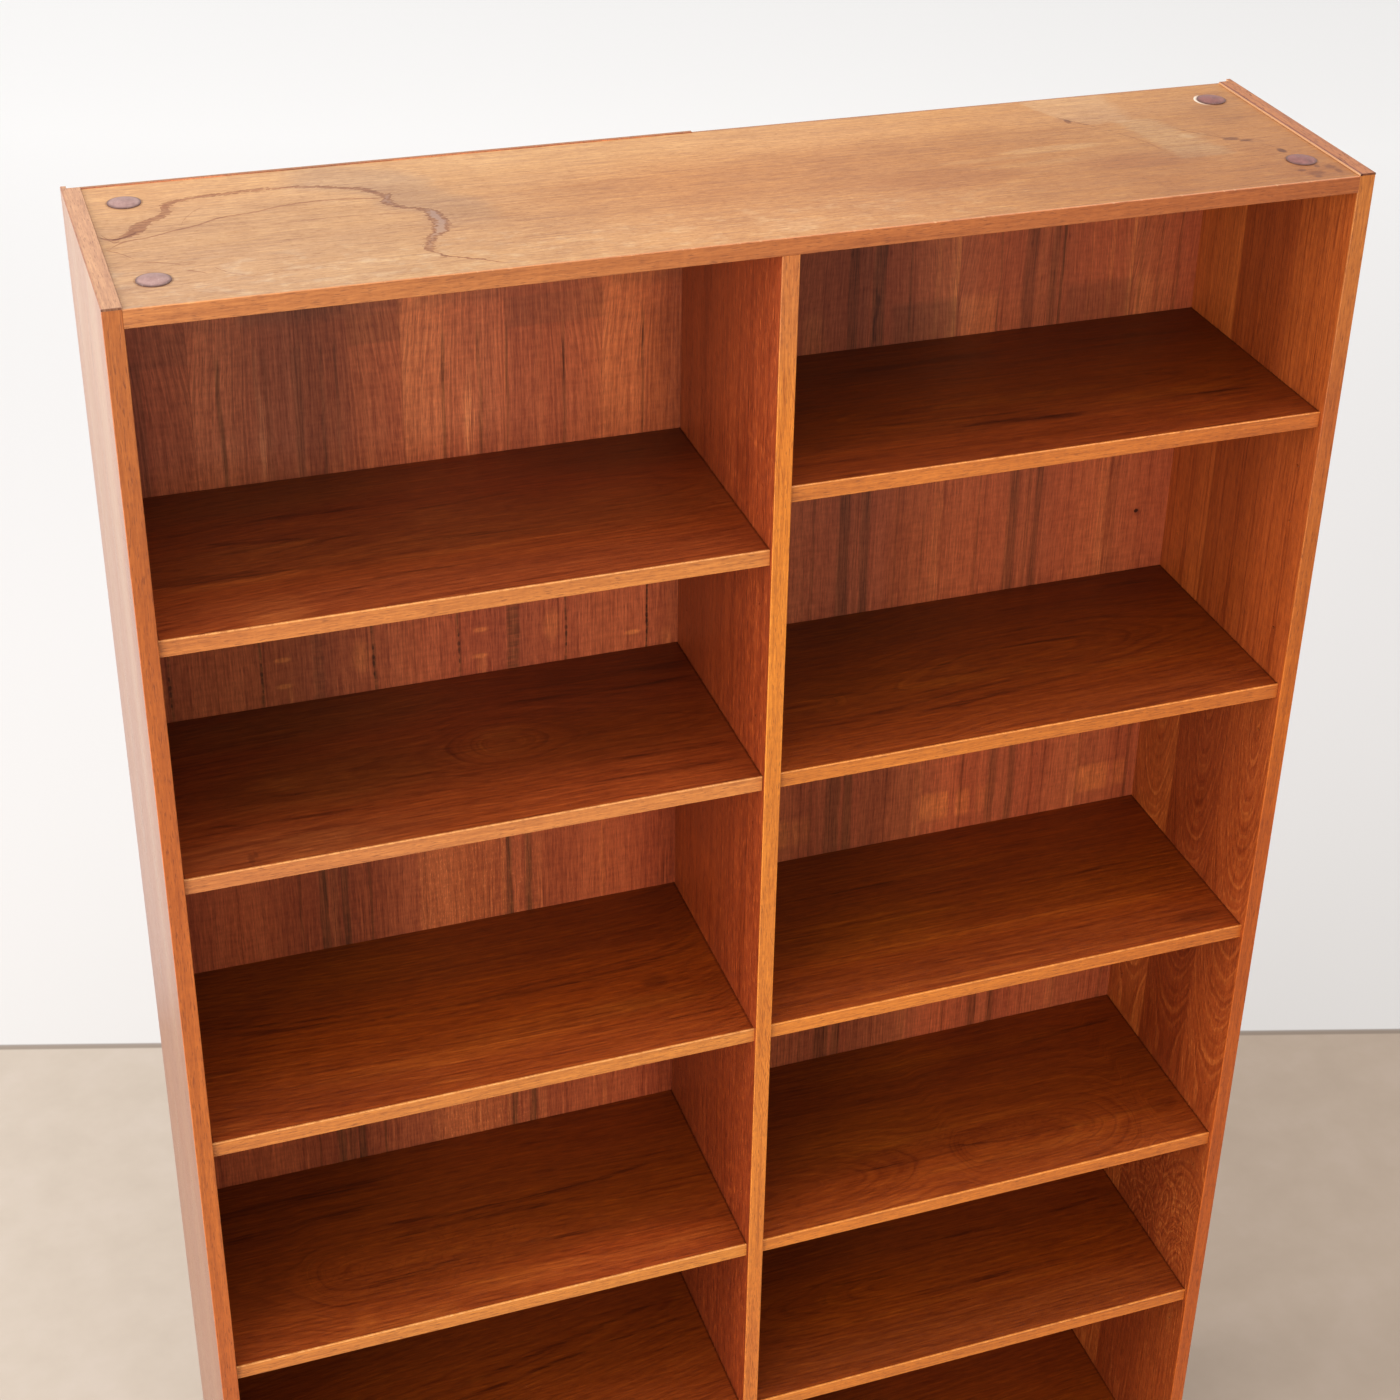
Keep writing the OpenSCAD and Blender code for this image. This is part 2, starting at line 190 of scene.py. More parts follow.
    def window(self, v, a, b, fade):
        """1 between a and b, fading to 0 over fade at each end."""
        return self.mul(self.span(v, a - fade, a, smooth=True), self.span(v, b, b + fade, 1.0, 0.0, smooth=True))


def srgb(r, g, b):
    f = lambda c: c / 12.92 if c <= 0.04045 else ((c + 0.055) / 1.055) ** 2.4
    return tuple(f(c / 255.0) for c in (r, g, b))


def scale3(c, k):
    k = k if isinstance(k, tuple) else (k, k, k)
    return tuple(x * y for x, y in zip(c, k))


def use(material, *names):
    for n in names:
        data = nodes[n].data
        data.materials.clear()
        data.materials.append(material)


# ------------------------------------------------------------------ wood
class Wood(Net):
    """Teak. axes name the direction along the grain, across it, and into the board.
    Everything is worked out in millimetres of the bookcase's own frame."""

    def __init__(self, name, axes, seed):
        super().__init__(name)
        self.a, self.b, self.c = self.place(axes)
        self.seed = seed
        self.ga = self.add(self.a, 977.0 * seed)
        self.gb = self.b
        self.gc = self.add(self.c, 61.0 * seed)
        self.tone = None
        self.nx = self.ny = self.nz = None

    def normals(self):
        if self.nx is None:
            self.nx, self.ny, self.nz = self.normal()

    def leaves(self, start, width, mirrored):
        """Veneer leaves side by side: each repeats the last one, mirrored (book-matched) or not."""
        k = self.math("DIVIDE", self.sub(self.b, start), width)
        self.cell = self.math("FLOOR", k)
        f = self.sub(k, self.cell)
        self.edge = self.mul(self.low(f, self.sub(1.0, f)), width)          # distance to the nearest joint
        if mirrored:
            odd = self.math("MODULO", self.abs(self.cell), 2.0)
            f = self.abs(self.sub(odd, f))
        r = self.rnd(self.join(self.cell, self.seed * 3.1, 0.5))
        self.tone = self.sub(r, 0.5)
        self.gb = self.mul(f, width)
        self.ga = self.add(self.ga, self.mul(self.tone, 30.0))

    def grow(self, wave=5.0, centre=None, depth=None, warp=10.0, skew=0.0, steep=1.0, rough=0.5):
        """Fibres run along the board; the growth rings are cut by its face. rho is the distance from the
        heart of the tree: straight lines where the depth is nil, arches and ovals where it changes."""
        n1 = self.sub(self.noise(self.join(self.mul(self.ga, 1 / 260.0), self.mul(self.gb, 1 / 90.0), self.seed * 5.0), 2.0), 0.5)
        b = self.add(self.gb, self.mul(n1, wave * 2.0))
        if skew:
            b = self.add(b, self.mul(self.a, skew))
        self.fib = b
        if centre is None:
            self.rho = b
            return
        cen = self.curve(self.a, centre) if isinstance(centre, list) else centre
        n2 = self.sub(self.noise(self.join(self.mul(self.ga, 1 / 80.0), self.mul(self.gb, 1 / 34.0), self.seed), 3.0, rough), 0.5)
        dep = self.add(self.curve(self.a, depth), self.mul(n2, warp))
        self.rho = self.hyp(self.mul(self.add(self.sub(b, cen), self.mul(n2, warp * 0.5)), steep), dep)

    def paint(self, mid, fine=1.0, bands=1.0, broad=1.0, pores=1.0, contrast=1.0, grain=1.0, ripple=0.0, leaf_tone=0.3):
        """The colour from the rings: fine lines, bands and broad drifts, then the open pores."""
        a, r, c, rr = self.ga, self.fib, self.gc, self.rho
        self.f0 = self.noise(self.join(self.mul(a, 1 / 16.0), self.mul(r, 1 / (1.5 * grain)), self.mul(c, 1 / 1.5)), 3.0, 0.68)
        self.f1 = self.noise(self.join(self.mul(a, 1 / 75.0), self.mul(r, 1 / (1.9 * grain)), self.mul(c, 1 / 3.0)), 3.0, 0.62)
        self.f2 = self.noise(self.join(self.mul(a, 1 / 420.0), self.mul(rr, 1 / 8.0), self.mul(c, 1 / 12.0)), 2.0, 0.6)
        self.f3 = self.noise(self.join(self.mul(a, 1 / 700.0), self.mul(rr, 1 / 50.0), self.mul(c, 1 / 60.0)), 2.0, 0.5)
        t = self.mul(self.sub(self.f1, 0.5), 0.62 * fine * contrast)
        t = self.add(t, self.mul(self.sub(self.f0, 0.5), 0.62 * fine * contrast))
        t = self.add(t, self.mul(self.sub(self.f2, 0.5), 0.75 * bands * contrast))
        t = self.add(t, self.mul(self.sub(self.f3, 0.5), 0.7 * broad * contrast))
        if self.tone is not None and leaf_tone:
            t = self.add(t, self.mul(self.tone, leaf_tone))
        if ripple:
            q = self.noise(self.join(self.mul(a, 1 / 5.0), self.mul(self.gb, 1 / 22.0), self.seed * 2.0), 2.0, 0.5)
            t = self.add(t, self.mul(self.sub(q, 0.5), ripple))
        fac = self.add(t, 0.5)
        deep = scale3(mid, (0.34, 0.26, 0.30))
        dark = scale3(mid, (0.64, 0.56, 0.60))
        light = scale3(mid, (1.34, 1.46, 1.44))
        pale = scale3(mid, (1.62, 1.95, 1.95))
        self.deep = deep
        self.col = self.ramp(fac, [(0.0, deep), (0.27, dark), (0.5, mid), (0.73, light), (1.0, pale)])
        p = self.noise(self.join(self.mul(a, 1 / 11.0), self.mul(r, 1 / 0.95), self.mul(c, 1 / 0.9)), 1.0, 0.5)
        self.pore = self.span(p, 0.60, 0.70, smooth=True)
        if pores:
            self.col = self.mix(self.mul(self.pore, 0.6 * pores), self.col, deep)
        self.rgh = None
        self.height = self.sub(self.mul(self.f1, 0.4), self.mul(self.pore, 0.9))

    # --- local changes of colour
    def tint(self, mask, factor, strength=1.0):
        f = factor if isinstance(factor, tuple) else (factor, factor, factor)
        k = self.mul(mask, strength) if strength != 1.0 else mask
        self.col = self.mix(k, self.col, f, "MULTIPLY")

    def paler(self, mask, colour, strength=1.0):
        self.col = self.mix(self.mul(mask, strength), self.col, colour)

    def drift(self, v, stops):
        """Multiply by a colour that changes along v: [(v, (r, g, b)), ...], each factor below 4."""
        a, b = stops[0][0], stops[-1][0]
        r = self.ramp(self.span(v, a, b), [((x - a) / (b - a), scale3(c, 0.25)) for x, c in stops])
        return self.vec("SCALE", r, scale=4.0)

    def times(self, colour):
        self.col = self.mix(1.0, self.col, colour, "MULTIPLY")

    def bars(self, v, items, mask=None):
        """Multiply by bars across v: (from, to, fade, (r, g, b)), in order and apart."""
        for n in range(0, len(items), 7):
            stops = []
            for x0, x1, f, c in items[n:n + 7]:
                for x, k in ((x0 - f, (1, 1, 1)), (x0, c), (x1, c), (x1 + f, (1, 1, 1))):
                    stops.append((max(x, stops[-1][0] + 0.02) if stops else x, k))
            k = self.drift(v, stops)
            self.times(k if mask is None else self.mix(mask, (1, 1, 1), k))

    def patch(self, a, b, ra, rb, soft=0.6, ragged=0.35):
        """1 inside an ellipse on the face with a ragged, soft edge."""
        da = self.mul(self.sub(self.a, a), 1.0 / ra)
        db = self.mul(self.sub(self.b, b), 1.0 / rb)
        n = self.noise(self.join(self.mul(self.a, 1.6 / ra), self.mul(self.b, 1.6 / rb), self.seed + a * 0.01), 3.0, 0.6)
        d = self.add(self.hyp(da, db), self.mul(self.sub(n, 0.5), ragged * 2.0))
        return self.span(d, 1.0 - soft * 0.5, 1.0 + soft * 0.5, 1.0, 0.0, smooth=True)

    def line(self, pts, width, soft=0.5, fade=25.0, grainy=0.6, wobble=2.0, swap=False):
        """1 on a line through (along, across) points, breaking up into the grain."""
        a, b = (self.b, self.a) if swap else (self.a, self.b)
        d = self.sub(b, self.curve(a, pts))
        if wobble:
            n = self.noise(self.join(self.mul(self.a, 1 / 14.0), self.mul(self.b, 1 / 9.0), self.seed), 3.0, 0.6)
            d = self.add(d, self.mul(self.sub(n, 0.5), wobble * 2.0))
        k = self.span(self.abs(d), width * 0.5 * (1 - soft), width * 0.5 * (1 + soft), 1.0, 0.0, smooth=True)
        k = self.mul(k, self.window(a, pts[0][0] + fade, pts[-1][0] - fade, fade))
        if grainy:
            k = self.mul(k, self.span(self.f1, 0.36, 0.56, 1.0, 1.0 - grainy))
        return k

    def streaks(self, period, lo, hi, factor, strength, length=520.0, seed=0.0, mask=None):
        """Bands that follow the rings where a slow noise is high."""
        q = self.noise(self.join(self.mul(self.ga, 1 / length), self.mul(self.rho, 1 / period), self.seed * 7.0 + seed), 2.0, 0.6)
        k = self.span(q, lo, hi, smooth=True)
        if mask is not None:
            k = self.mul(k, mask)
        self.tint(k, factor, strength)
        return k

    def flecks(self, length, width, lo, hi, factor, strength, mask=None, seed=0.0):
        """Short dashes along the grain."""
        q = self.noise(self.join(self.mul(self.ga, 1 / length), self.mul(self.fib, 1 / width), self.seed * 11.0 + seed), 1.0, 0.5)
        k = self.span(q, lo, hi, smooth=True)
        if mask is not None:
            k = self.mul(k, mask)
        self.tint(k, factor, strength)
        return k

    def rings(self, period, width, factor, strength, wander=1.0, seed=0.0, mask=None, patchy=0.7):
        """Thin growth lines that follow the rings, coming and going."""
        n = self.noise(self.join(self.mul(self.ga, 1 / 190.0), self.mul(self.rho, 1 / (period * 3.1)), self.seed * 3.0 + seed), 2.0, 0.5)
        g = self.add(self.mul(self.rho, 1.0 / period), self.mul(self.sub(n, 0.5), wander * 2.4))
        k = self.abs(self.sub(self.math("FRACT", self.add(g, 40.0)), 0.5))
        k = self.span(k, width * 0.5, width * 0.5 + 0.10, 1.0, 0.0, smooth=True)
        q = self.noise(self.join(self.mul(self.ga, 1 / 46.0), self.mul(self.rho, 1 / (period * 0.9)), self.seed * 9.0 + seed), 2.0, 0.55)
        k = self.mul(k, self.span(q, 0.36, 0.60, 1.0 - patchy, 1.0))
        if mask is not None:
            k = self.mul(k, mask)
        self.tint(k, factor, strength)
        return k

    def core(self, thick, top, axis="XYZ", faces="x"):
        """Raw chipboard with its two veneers where the board is cut across: on the faces that look along x, y or z."""
        self.normals()
        n = {"x": self.nx, "y": self.ny, "z": self.nz}[faces]
        cut = self.span(self.abs(n), 0.8, 0.95)
        g1 = self.noise(self.raw, 3.0, 0.7, scale=0.55)
        g2 = self.noise(self.raw, 2.0, 0.6, scale=0.14)
        chips = self.ramp(self.add(self.mul(self.sub(g1, 0.5), 1.6), self.add(g2, 0.0)),
                          [(0.15, srgb(96, 72, 48)), (0.42, srgb(142, 112, 78)), (0.62, srgb(164, 134, 96)), (0.85, srgb(190, 162, 122))])
        skin = self.span(self.abs(self.sub(self.c, top - thick * 0.5)), thick * 0.5 - 0.8, thick * 0.5 - 0.6)
        self.col = self.mix(self.mul(cut, self.sub(1.0, skin)), self.col, chips)

    def finish(self, rough=0.45, bump=0.35, distance=0.0004, gloss=None, extra=None):
        r = self.add(self.mul(self.sub(self.f1, 0.5), 0.14), rough)
        r = self.add(r, self.mul(self.pore, 0.12))
        r = self.add(r, self.mul(self.sub(self.f3, 0.5), 0.12))
        if self.rgh is not None:
            r = self.add(r, self.rgh)
        self.put(self.bsdf.inputs["Base Color"], self.col)
        self.put(self.bsdf.inputs["Roughness"], r)
        if gloss is not None:
            self.bsdf.inputs["Specular IOR Level"].default_value = gloss
        h = self.height if extra is None else self.add(self.height, extra)
        self.bump(h, bump, distance)
        return self.mat


# ------------------------------------------------------------------ tones
SIDE_IN = srgb(156, 71, 26)
SIDE_OUT = srgb(136, 86, 56)
DIVIDER = srgb(141, 58, 23)
BACK_L = srgb(184, 91, 53)
BACK_R = srgb(193, 96, 54)
SHELF_L = srgb(129, 53, 16)
SHELF_R = srgb(128, 51, 13)
TOP = srgb(177, 123, 77)
TOP_FRONT = srgb(174, 101, 53)
STRIP_L = srgb(199, 120, 55)
STRIP_R = srgb(198, 109, 40)
STRIP_DIV = srgb(210, 121, 41)
FRONT_L = srgb(165, 84, 32)
FRONT_R = srgb(182, 87, 26)
CROWN_L = srgb(175, 127, 93)
CROWN_R = srgb(161, 98, 53)


# ------------------------------------------------------------------ top board
m = Wood("wood_top_board", "XYZ", 3.0)
m.grow(wave=6.0, skew=0.012)
m.paint(TOP, fine=0.72, bands=0.14, broad=0.2, pores=0.35, grain=1.9)
m.normals()
under = m.mix(1.0, m.col, (0.78, 0.62, 0.48), "MULTIPLY")
# painted light and sheen: paler at the left and the back, towards the light and the wall behind, deeper towards the
# front right
front = m.drift(m.x, [(-583, (0.94, 1.12, 1.46)), (-330, (0.95, 1.12, 1.31)), (-60, (0.98, 1.0, 0.96)), (160, (0.86, 0.82, 0.74)), (400, (0.68, 0.56, 0.40)), (583, (0.66, 0.54, 0.39))])
middle = m.drift(m.x, [(-583, (0.94, 1.1, 1.34)), (-330, (0.9, 1.02, 1.16)), (-60, (0.87, 0.79, 0.65)), (250, (0.75, 0.66, 0.54)), (440, (0.74, 0.72, 0.68)), (583, (0.7, 0.61, 0.5))])
back = m.drift(m.x, [(-583, (1.1, 1.25, 1.42)), (-330, (1.1, 1.3, 1.48)), (-60, (1.09, 1.21, 1.22)), (250, (0.98, 1.0, 0.98)), (440, (0.85, 0.85, 0.85)), (583, (0.76, 0.72, 0.65))])
tone = m.mix(m.span(m.y, -105, -10, smooth=True), front, middle)
tone = m.mix(m.span(m.y, 20, 118, smooth=True), tone, back)
m.times(tone)
# rubbed, slightly mottled surface
mot = m.noise(m.join(m.mul(m.x, 1 / 60.0), m.mul(m.y, 1 / 34.0), 3.0), 4.0, 0.6)
m.times(m.drift(mot, [(0.3, (0.94, 0.91, 0.88)), (0.5, (1.0, 1.0, 1.0)), (0.7, (1.05, 1.08, 1.12))]))
m.flecks(5.0, 2.6, 0.56, 0.64, (1.12, 1.2, 1.3), 0.5, seed=2.0)
m.flecks(6.0, 2.8, 0.57, 0.66, (0.84, 0.76, 0.68), 0.55, seed=6.0)
m.flecks(40.0, 2.6, 0.60, 0.68, (0.84, 0.74, 0.64), 0.5, mask=m.window(m.y, -75, 70, 30.0), seed=9.0)
m.streaks(9.0, 0.56, 0.68, (0.90, 0.83, 0.76), 0.6, 260.0, mask=m.window(m.y, -80, 60, 30.0))
# rubbed pale in blotches along the front
rub = m.noise(m.join(m.mul(m.x, 1 / 26.0), m.mul(m.y, 1 / 15.0), 8.0), 4.0, 0.65)
rub = m.mul(m.span(rub, 0.50, 0.66, smooth=True), m.mul(m.span(m.y, -40, -75, smooth=True), m.span(m.x, 330, 150, 0.35, 1.0)))
m.tint(rub, (1.1, 1.26, 1.5), 0.9)
m.tint(m.patch(10, -118, 26, 14, 0.9, 0.5), (1.06, 1.16, 1.34), 0.8)
m.tint(m.span(m.x, 110, 260), (1.0, 0.99, 0.86), 1.0)
# the old tide line of a spill: an uneven ring round (-430, -20), wide and grey at its right, thin along the top
dx, dy = m.sub(m.x, -430.0), m.sub(m.y, -20.0)
ang = m.mul(m.math("ARCTAN2", dy, dx), 180 / math.pi)
rad = m.hyp(dx, dy)
edge = m.curve(ang, [(-180, 132), (-34, 150), (-31, 138), (-27, 131), (-20, 130), (-13, 135), (-6, 139), (2, 140), (10, 138), (14, 132), (18, 124), (22, 119),
                     (29, 119), (33, 129), (37, 128), (43, 130), (51, 126), (58, 123), (70, 119), (85, 116), (95, 115), (109, 120), (123, 128),
                     (129, 131), (135, 124), (141, 119), (151, 126), (158, 127), (164, 132), (169, 143), (174, 150), (180, 132)])
n1 = m.sub(m.noise(m.join(m.mul(m.x, 1 / 17.0), m.mul(m.y, 1 / 17.0), 1.0), 3.0, 0.6), 0.5)
n2 = m.sub(m.noise(m.join(m.mul(m.x, 1 / 5.0), m.mul(m.y, 1 / 5.0), 4.0), 2.0, 0.6), 0.5)
n3 = m.sub(m.noise(m.join(m.mul(m.x, 1 / 15.0), m.mul(m.y, 1 / 2.6), 6.0), 2.0, 0.6), 0.5)
off = m.add(m.add(m.sub(rad, edge), m.mul(n3, 12.0)), m.add(m.mul(n1, 6.0), m.mul(n2, 10.0)))
half = m.curve(ang, [(-180, 1), (-40, 1), (-31, 1.8), (-27, 3.6), (-20, 3.6), (-13, 5.6), (-6, 7.2), (2, 7.2), (10, 4.6), (15, 2.4), (20, 2.2), (29, 5.2), (36, 3.4), (48, 3.0),
                     (60, 2.4), (118, 2.6), (127, 3.0), (133, 4.8), (139, 3.6), (150, 4.6), (158, 6.2), (165, 4.0), (170, 2.2), (180, 1.0)])
seen = m.window(ang, -33, 168, 3.0)
dist = m.abs(off)
deepin = m.sub(half, dist)
lobe = m.add(m.window(ang, -24, 10, 6.0), m.mul(m.window(ang, 25, 32, 4.0), 0.6))
whole = m.mul(m.span(deepin, -1.3, 0.2, smooth=True), seen)
spot = m.span(m.noise(m.join(m.mul(m.x, 1 / 9.0), m.mul(m.y, 1 / 3.0), 7.0), 3.0, 0.6), 0.32, 0.6, 0.35, 1.0)
inner = m.mul(m.mul(m.span(deepin, 2.2, 4.2, smooth=True), seen), lobe)
m.tint(m.mul(whole, spot), (0.50, 0.32, 0.29), 0.92)
m.paler(inner, srgb(160, 126, 102), 0.85)
rim = whole
inside = m.span(off, -14.0, -2.0, 1.0, 0.0)
m.tint(inside, (1.03, 1.05, 1.08), 0.8)
haze = m.mul(m.window(ang, 5, 68, 18.0), m.window(off, 4.0, 42.0, 26.0))
m.tint(haze, (0.82, 0.86, 1.02), 0.9)
for pts, w, f in (([(-580, 75), (-580, 30), (-575, 12), (-570, 2), (-565, 5)], 2.0, 2), ([(-583, 19), (-570, 10), (-557, 15), (-548, 22)], 3.2, 3)):
    m.tint(m.line(pts, w, fade=f, grainy=0, wobble=2), (0.54, 0.36, 0.32), 0.9)
m.tint(m.line([(-312, -94), (-300, -104), (-285, -113), (-272, -121), (-258, -132)], 2.6, fade=4, grainy=0, wobble=7), (0.55, 0.38, 0.32), 0.95)
m.tint(m.line([(-578, -13), (-560, 2), (-545, 5), (-520, 16), (-500, 22), (-475, 36), (-440, 43), (-415, 51), (-380, 54), (-350, 50), (-326, 45)], 2.4, fade=8, grainy=0, wobble=3), (0.62, 0.46, 0.40), 0.9)
m.tint(m.line([(-512, 18), (-506, 38), (-496, 55), (-484, 68)], 1.8, fade=5, grainy=0, wobble=2), (0.72, 0.58, 0.52), 0.7)
m.tint(m.line([(-440, 9), (-390, 11), (-350, 9), (-310, 5)], 1.8, fade=12, grainy=0, wobble=2), (0.76, 0.64, 0.58), 0.7)
for pts in ([(-580, -12), (-568, -25), (-558, -40)], [(-552, -48), (-535, -55), (-522, -61)], [(-522, -74), (-512, -80), (-504, -88)], [(-498, -74), (-487, -89), (-474, -99)]):
    m.tint(m.line(pts, 2.0, fade=3, grainy=0, wobble=3), (0.66, 0.50, 0.44), 0.8)
m.tint(m.line([(-538, -104), (-480, -100), (-440, -99), (-400, -95)], 1.8, fade=14, grainy=0.3, wobble=3), (0.74, 0.62, 0.56), 0.7)
# two thin old lines and pale wipes at the right
m.tint(m.line([(45, 400), (60, 388), (75, 376), (92, 367)], 2.6, fade=8, grainy=0.5, wobble=3, swap=True), (0.56, 0.42, 0.36), 0.9)
m.tint(m.line([(-30, 432), (5, 421), (40, 402)], 2.4, fade=8, grainy=0.4, wobble=3, swap=True), (0.70, 0.58, 0.52), 0.7)
m.tint(m.line([(470, 27), (490, 4), (511, -16), (532, -30)], 2.6, fade=6, grainy=0.4, wobble=3), (0.56, 0.42, 0.38), 0.85)
m.tint(m.line([(534, -36), (545, -52), (549, -64)], 2.6, fade=3, grainy=0.4, wobble=4), (0.5, 0.36, 0.34), 0.9)
m.tint(m.patch(512, -16, 9, 4), (0.42, 0.30, 0.28), 0.8)
m.tint(m.patch(525, -24, 7, 3), (0.46, 0.34, 0.30), 0.8)
m.tint(m.patch(545, -60, 4, 6), (0.36, 0.24, 0.22), 0.95)
m.tint(m.patch(375, 72, 3, 6), (0.5, 0.36, 0.3), 0.9)
wob = m.mul(m.sub(m.noise(m.join(m.mul(m.x, 1 / 12.0), m.mul(m.y, 1 / 12.0), 12.0), 3.0, 0.6), 0.5), 14.0)
xx = m.add(m.x, wob)
pale = m.mul(m.mul(m.span(m.sub(xx, m.curve(m.y, [(55, 396), (72, 378), (100, 362), (144, 350)])), -1.5, 2.0), m.span(m.sub(xx, m.curve(m.y, [(55, 440), (144, 444)])), 8.0, -6.0)), m.span(m.add(m.y, wob), 54, 62))
m.tint(pale, (1.06, 1.22, 1.6), 0.95)
pale = m.mul(m.mul(m.span(m.sub(xx, m.curve(m.y, [(-60, 440), (-20, 434), (60, 420)])), -4.0, 5.0), m.span(m.sub(xx, m.curve(m.y, [(-60, 500), (0, 480), (60, 462)])), 6.0, -6.0)), m.window(m.add(m.y, wob), -52, 56, 8.0))
m.tint(pale, (1.06, 1.24, 1.6), 0.9)
m.tint(m.patch(480, 3, 14, 7, 0.5), (1.16, 1.34, 1.6), 0.8)
m.tint(m.patch(460, -40, 40, 14, 0.6), (1.06, 1.16, 1.3), 0.6)
m.tint(m.patch(325, 4, 52, 9, 0.5), (1.16, 1.4, 1.8), 0.85)
m.tint(m.patch(250, -8, 46, 5, 0.7), (1.12, 1.3, 1.6), 0.7)
m.tint(m.patch(286, -28, 56, 7, 0.7), (1.1, 1.24, 1.44), 0.7)
m.tint(m.patch(186, -47, 70, 26, 0.9), (0.86, 0.78, 0.74), 0.8)
m.tint(m.patch(400, -48, 70, 20, 0.9), (0.84, 0.74, 0.7), 0.8)
m.tint(m.patch(540, 55, 22, 32, 0.9), (0.86, 0.84, 0.84), 0.6)
for px, py, rx, ry in ((546, -124, 9, 5), (543, -133, 4, 3), (568, -112, 5, 5), (571, -124, 3, 6), (536, -114, 4, 3), (556, -108, 3, 3)):
    m.tint(m.patch(px, py, rx, ry, 0.9, 0.7), (0.50, 0.36, 0.33), 0.75)
m.tint(m.patch(552, -120, 34, 18, 1.0), (0.86, 0.78, 0.76), 0.8)
# a pale crescent beside one cap, and chips along the front edge
capr = m.hyp(m.sub(m.x, 550.0), m.sub(m.y, 94.0))
m.paler(m.mul(m.window(capr, 15.0, 17.5, 1.2), m.mul(m.span(m.x, 545, 538), m.span(m.y, 76, 92))), srgb(226, 214, 198), 0.8)
ring = m.hyp(m.sub(m.abs(m.x), 550.0), m.sub(m.abs(m.sub(m.y, 2.5)), 91.5))
m.tint(m.window(ring, 14.0, 16.2, 1.0), (0.62, 0.52, 0.46), 0.6)
chip = m.noise(m.join(m.mul(m.x, 1 / 9.0), 2.0, 5.0), 4.0, 0.75)
m.paler(m.mul(m.span(m.y, -140.0, -141.6), m.span(chip, 0.54, 0.66)), srgb(206, 160, 112), 0.5)
# painted shadow: a dark line along the left edge, in the joint where the left side stands proud of the board
m.tint(m.span(m.x, -581.4, -582.6, smooth=True), (0.6, 0.48, 0.42), 0.7)
faceup = m.span(m.nz, 0.2, 0.6)
m.col = m.mix(faceup, under, m.col)
m.rgh = m.mul(m.mul(rim, 0.08), faceup)
use(m.finish(rough=0.50, bump=0.3, gloss=0.45), "top_board")


